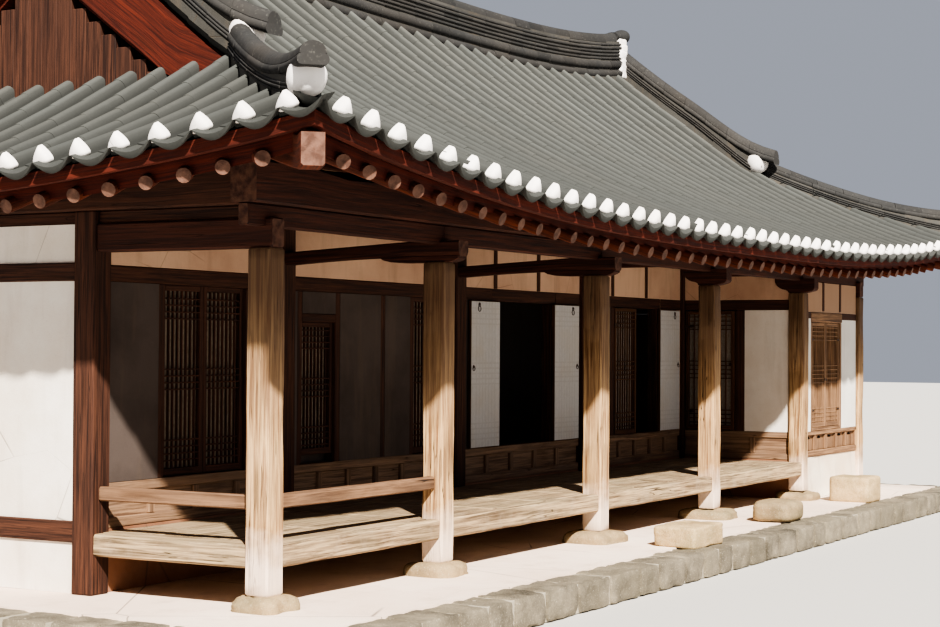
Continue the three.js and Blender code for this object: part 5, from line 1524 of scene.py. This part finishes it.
# Closed windows of the first two bays, each as its spans along X and Z, and the post between them.
CASING, TALL_Z, SMALL_Z = 0.07, (SILL_Z + 0.005, HEAD_Z), (SILL_Z + 0.07, HEAD_Z - 0.25)
FIXED = {
    1: ([((-5.56, -4.56), TALL_Z)], ()),
    2: ([((-3.79, -3.3), SMALL_Z), ((-2.02, -1.43), TALL_Z)], (-2.55,)),
}
inner_place = Along("x", 0.0, 1, INNER_FACE, 1)
for bay, (panes, posts) in FIXED.items():
    wood, paper = Shape(), Shape()
    span = (LINES[bay - 1] + HALF + LET_IN, LINES[bay] - HALF - LET_IN)
    timber(wood, "x", span, FRAME_Y, HEAD_BEAM, 0.008)
    for x in posts:
        timber(wood, "z", about(x, CASING / 2), FRAME_Y, POST_Z, 0.005)
    for (left, right), (low, high) in panes:
        for edge in ((left - CASING, left), (right, right + CASING)):
            timber(wood, "z", edge, FRAME_Y, POST_Z, 0.005)
        if low - CASING > SILL_Z:
            timber(wood, "x", (left, right), FRAME_Y, (low - CASING, low), 0.005)
        if high + CASING < HEAD_Z:
            timber(wood, "x", (left, right), FRAME_Y, (high, high + CASING), 0.005)
        middle = (left + right) / 2
        halves = ((left, middle - 0.002), (middle + 0.002, right)) if right - left > 0.8 else ((left, right),)
        count = 3 if high - low - 2 * GAP < 0.9 else 4
        for u in halves:
            uprights = max(3, round((u[1] - u[0]) / 0.07))
            bands = ((0.1, count), (0.5, count), (0.9, count))
            pane(wood, paper, inner_place, u, (low + GAP, high - GAP), (0.03, 0.075), uprights, bands)
    wood.piece(f"bay{bay}_window_frames", FRAME_WOOD, "dark_timber", f"bay{bay}_frame")
    paper.piece(f"bay{bay}_window_paper", PANE_PAPER, "papered_lattice")

# Thin studs part the plaster above the doors into panels.
studs = Shape()
for x in (-0.5, 0.415, 2.2, 3.11):
    level = (HEAD_BEAM_Z + GAP, 3.44)
    timber(studs, "z", about(x, 0.03), (INNER_FACE - 0.012, INNER_FACE + 0.02), level, 0.004, 0.001)
for a, b in (
    (LINE_3 + HALF, DOOR_X[3] - DOOR_FRAME_HALF - GAP), (DOOR_X[3] + DOOR_FRAME_HALF, LINE_4 - HALF - GAP),
    (LINE_4 + HALF, DOOR_X[4] - DOOR_FRAME_HALF - GAP), (DOOR_X[4] + DOOR_FRAME_HALF, LINE_5 - HALF),
):
    timber(studs, "x", (a + GAP, b), (INNER_FACE - 0.006, INNER_FACE + 0.02), HEAD_BEAM, 0.005, 0.001)
studs.piece("veranda_wall_studs", FRAME_WOOD, "dark_timber")

# The side wall of the end bay: a post, a head beam and plaster.
wood, depth, post_y = Shape(), (SIDE_FACE - 0.004, SIDE_BACK), SIDE_HINGE_Y - 0.632
timber(wood, "z", depth, (post_y - 0.12, post_y), POST_Z, 0.006)
timber(wood, "y", depth, SIDE_ENDS, HEAD_BEAM, 0.008)
wood.piece("side_wall_posts", FRAME_WOOD, "dark_timber", "side_door_frame")

# The closed end bay: foundation, boards, window, and panels between timbers.
random.seed(41)
BAY_X = (LINE_5 + HALF + LET_IN, RIGHT_X - HALF - LET_IN)
BAY_FACE, BAY_BACK = FRONT_Y - WALL_OUT, FRONT_Y + WALL_OUT
MASONRY_Z, FOOT_BEAM_Z = (PLINTH_Z + GAP, 0.7145), (0.716, 0.79)
PANEL_Z, SILL_BEAM_Z = (0.791, 0.964), (0.965, 1.0165)


def masonry():
    """Rough masonry that spreads at its foot."""
    shape, rings, (low, high) = Shape(), [], MASONRY_Z
    for x in evenly(*BAY_X, 25):
        ring = []
        for s in evenly(0, 1, 9):
            z = high + (low - high) * s
            out = 0.05 * s ** 2 + abs(wobble((x, z, 3), 3.0, 0.03))
            ring.append((x, BAY_FACE - out + 0.012, z))
        rings.append(ring + [(x, BAY_BACK, low), (x, BAY_BACK, high)])
    shape.loft(rings)
    return shape


masonry().piece("bay5_masonry", FOUNDATION, "lime_plaster", "bay5_foundation", 50)
wood, slots, panels = Shape(), Shape(), evenly(*BAY_X, 6)
timber(wood, "x", BAY_X, (BAY_FACE - 0.012, BAY_BACK), FOOT_BEAM_Z, 0.01, 0.004, 0.12)
timber(wood, "x", BAY_X, (BAY_FACE - 0.006, BAY_BACK), SILL_BEAM_Z, 0.008, 0.003, 0.12)
for a, b in zip(panels, panels[1:]):
    timber(wood, "z", (a + 0.032, b - 0.032), (BAY_FACE + 0.03, BAY_BACK), PANEL_Z, 0.004, 0.002, 0.1)
    for edge in ((a, a + 0.03), (b - 0.03, b)):
        timber(wood, "z", edge, (BAY_FACE, BAY_BACK), PANEL_Z, 0.005, 0.002, 0.1)
wood.piece("bay5_boards", WINDOW_WOOD, "dark_timber", "bay5_dado")
# Arched air slots, each a thin dark inset on a board rather than a hole: painted shade.
SLOT_Z, SLOT_HALF, SLOT_RISE = 0.925, 0.05, 0.026
for a, b in zip(panels, panels[1:]):
    x = (a + b) / 2
    outline = [(x - SLOT_HALF, SLOT_Z), (x + SLOT_HALF, SLOT_Z)]
    outline += [(x + SLOT_HALF * math.cos(v), SLOT_Z + SLOT_RISE * math.sin(v)) for v in HALF_TURN[1:-1]]
    slots.loft([[(px, y, z) for px, z in outline] for y in (BAY_FACE + 0.0275, BAY_FACE + 0.032)], 0.0)
slots.piece("bay5_air_slots", DARK_SLOT, "dark_timber", angle=35)

wood, paper, iron = Shape(), Shape(), Shape()
WINDOW_X, WINDOW_LOW, WINDOW_HIGH, JAMB = (4.5, 5.64), 1.0175, 2.306, 0.06
left, right = WINDOW_X[0] + JAMB, WINDOW_X[1] - JAMB
middle = (left + right) / 2
for edge in ((WINDOW_X[0], left), (right, WINDOW_X[1])):
    timber(wood, "z", edge, (BAY_FACE, BAY_BACK), (WINDOW_LOW, WINDOW_HIGH - GAP), 0.006)
timber(wood, "x", WINDOW_X, (BAY_FACE - 0.01, BAY_BACK), (WINDOW_HIGH, 2.425), 0.01, 0.003)
timber(wood, "x", (left, right), (BAY_FACE, BAY_BACK), (WINDOW_LOW, 1.055), 0.006)
front_place = Along("x", 0.0, 1, BAY_FACE, 1)
for u in ((left + 0.002, middle - 0.002), (middle + 0.002, right - 0.002)):
    pane(wood, paper, front_place, u, (1.057, 2.303), (0.012, 0.05))
for side, edge in ((1, left + 0.002), (-1, right - 0.002)):
    for level in (1.26, 2.1):
        strap(iron, Along("x", edge, side, BAY_FACE, 1), -0.03, (0.008, 0.0125), level, 0.024)
for u in about(middle, 0.03):
    plate(iron, front_place, u, 0.012, 1.62, 0.018, 0.004)
wood.piece("bay5_window_lattice", WINDOW_WOOD, "papered_lattice", "bay5_window")
paper.piece("bay5_window_paper", PANE_PAPER, "papered_lattice")
iron.piece("bay5_window_irons", IRON, "papered_lattice", angle=50)
studs = Shape()
for x in evenly(*BAY_X, 4)[1:-1]:
    timber(studs, "z", about(x, 0.028), (BAY_FACE - 0.01, FRONT_Y), (HEAD_Z, PLATE_Z - GAP), 0.004, 0.001)
for x in ((BAY_X[0], WINDOW_X[0] - GAP), (WINDOW_X[1] + GAP, BAY_X[1])):
    timber(studs, "x", x, (BAY_FACE - 0.006, FRONT_Y), (2.345, 2.425), 0.006, 0.002)
studs.piece("bay5_wall_studs", FRAME_WOOD, "dark_timber")

# Rear and end walls: posts, rails, plates, purlins and closed windows.
random.seed(51)
OUT, DEEP = HALF - 0.02, 0.11
WINDOW_HALF, WINDOW_SILL, WINDOW_BAR = 0.55, 1.017, 0.09


def outer_wall(name, place, posts, span, plate_low, windows, purlin_reach):
    """One outer wall. Its posts and windows are given by their middles along it."""
    wood, paper, depth = Shape(), Shape(), (-OUT, DEEP - OUT)

    def put(u, w, z, axis, bevel=0.008):
        timber(wood, place.run if axis == "u" else axis, *place(u, w, z), bevel, 0.002, 0.25)

    for at in posts:
        put(about(at, HALF), (-HALF, HALF), (PLINTH_Z + GAP, PURLIN_Z - GAP), "z", 0.011)
    starts = [span[0]] + [at + HALF for at in posts]
    stops = [at - HALF for at in posts] + [span[1]]
    for a, b in ((a, b) for a, b in zip(starts, stops) if b - a > 0.05):
        put((a, b), depth, (FLOOR_Z - 0.09, FLOOR_Z + 0.06), "u")
        put((a, b), depth, (HEAD_Z, HEAD_Z + 0.13), "u")
        put((a, b), about(0.0, PLATE_HALF), (plate_low, PURLIN_Z - GAP), "u")
    for middle in windows:
        low, high = about(middle, WINDOW_HALF)
        for edge in ((low - WINDOW_BAR, low), (high, high + WINDOW_BAR)):
            put(edge, depth, (FLOOR_Z + 0.061, HEAD_Z - GAP), "z", 0.006)
        put((low, high), depth, (WINDOW_SILL - WINDOW_BAR, WINDOW_SILL), "u", 0.006)
        for u in ((low + GAP, middle - 0.002), (middle + 0.002, high - GAP)):
            pane(wood, paper, place, u, (WINDOW_SILL + GAP, HEAD_Z - GAP), (0.03 - OUT, 0.075 - OUT))
    purlin(wood, SIDES[name], EAVE_Y - REAR_Y, purlin_reach, PURLIN_Z)
    wood.piece(f"{name}_wall_timbers", FRAME_WOOD, "dark_timber", f"{name}_frame")
    paper.piece(f"{name}_window_paper", PANE_PAPER, "papered_lattice")


PURLIN_SIDE, END_PLATE_Z = 0.1053, BEAM_TOP_Z + GAP
outer_wall(
    "rear", Along("x", 0.0, 1, REAR_Y, -1), LINES, (LEFT_X + HALF, RIGHT_X - HALF), PLATE_Z,
    [(a + b) / 2 for a, b in zip(LINES[1:4], LINES[2:5])], RIGHT_X + PLATE_OUT,
)
outer_wall(
    "left", Along("y", 0.0, 1, LEFT_X, 1), (INNER_Y, MIDDLE_Y), (INNER_Y + HALF, REAR_Y - HALF), END_PLATE_Z,
    [(MIDDLE_Y + REAR_Y) / 2], REAR_Y - PURLIN_SIDE,
)
outer_wall(
    "right", Along("y", 0.0, 1, RIGHT_X, -1), (INNER_Y, MIDDLE_Y), (FRONT_Y + HALF, REAR_Y - HALF), END_PLATE_Z,
    [(INNER_Y + MIDDLE_Y) / 2], REAR_Y - PURLIN_SIDE,
)
end_plate = Shape()
run = (FRONT_Y + PURLIN_SIDE, INNER_Y - HALF)
timber(end_plate, "y", about(LEFT_X, PLATE_HALF), run, (END_PLATE_Z, PURLIN_Z - GAP))
end_plate.piece("left_end_plate", FRAME_WOOD, "dark_timber")

# The plain walls and floors keep their solids and get plaster and cement.
# inner_wall_left and inner_wall_middle take the dark plaster of painted shade.
for name, look in {
    "rear_wall": PALE, "left_wall": PALE, "right_wall": PALE, "inner_wall_top": PANEL, "inner_wall_left": DIM,
    "inner_wall_middle": DIM, "inner_wall_right": PANEL, "side_wall_panel": PALE, "side_wall_top": PANEL,
    "bay5_wall": END_BAY, "room_floor": FLOOR,
}.items():
    for slot in nodes[name].material_slots:
        slot.material = look


# Camera, light and floor.
def camera(place, yaw, pitch, roll, focal, picture=940, sensor=36):
    """A camera whose focal length is given in pixels of the picture's width."""
    forward = Vector((math.cos(yaw) * math.cos(pitch), math.sin(yaw) * math.cos(pitch), math.sin(pitch)))
    right = Vector((math.sin(yaw), -math.cos(yaw), 0))
    up = right.cross(forward)
    turned = right * math.cos(roll) + up * math.sin(roll)
    top = up * math.cos(roll) - right * math.sin(roll)
    made = bpy.data.objects.new("camera", bpy.data.cameras.new("camera"))
    made.matrix_world = Matrix([[turned[i], top[i], -forward[i], place[i]] for i in range(3)] + [[0, 0, 0, 1]])
    made.data.sensor_fit, made.data.sensor_width = "HORIZONTAL", sensor
    made.data.lens = focal / picture * sensor
    made.data.clip_end = 400
    bpy.context.scene.collection.objects.link(made)
    bpy.context.scene.camera = made


def sun(direction, energy, angle, colour):
    light = bpy.data.lights.new("sun", "SUN")
    light.energy, light.angle, light.color = energy, math.radians(angle), colour
    made = bpy.data.objects.new("sun", light)
    made.rotation_euler = Vector(direction).to_track_quat("-Z", "Y").to_euler()
    bpy.context.scene.collection.objects.link(made)


camera((-16.157, -9.948, 1.998), yaw=0.5159, pitch=0.01784, roll=0.00606, focal=1823)
sun((1.09, 1.0, -1.25), energy=9.5, angle=1.6, colour=(1.0, 0.95, 0.87))
world = bpy.data.worlds.new("studio")
world.use_nodes = True
background = next(n for n in world.node_tree.nodes if n.type == "BACKGROUND")
background.inputs["Color"].default_value = (0.82, 0.87, 1.0, 1)
background.inputs["Strength"].default_value = 0.37
bpy.context.scene.world = world

ground, far, level = bpy.data.meshes.new("floor"), 90, -0.004
corners = [(-far, -far, level), (far, -far, level), (far, far, level), (-far, far, level)]
ground.from_pydata(corners, [], [(0, 1, 2, 3)])
pale = Look("pale floor", 0.9, 0.2)
ground.materials.append(pale.done(tint(198, 195, 190)))
floor = bpy.data.objects.new("floor", ground)
bpy.context.scene.collection.objects.link(floor)
bpy.context.scene.view_settings.view_transform = "AgX"
bpy.context.scene.view_settings.look = "AgX - High Contrast"

bpy.context.view_layer.update()
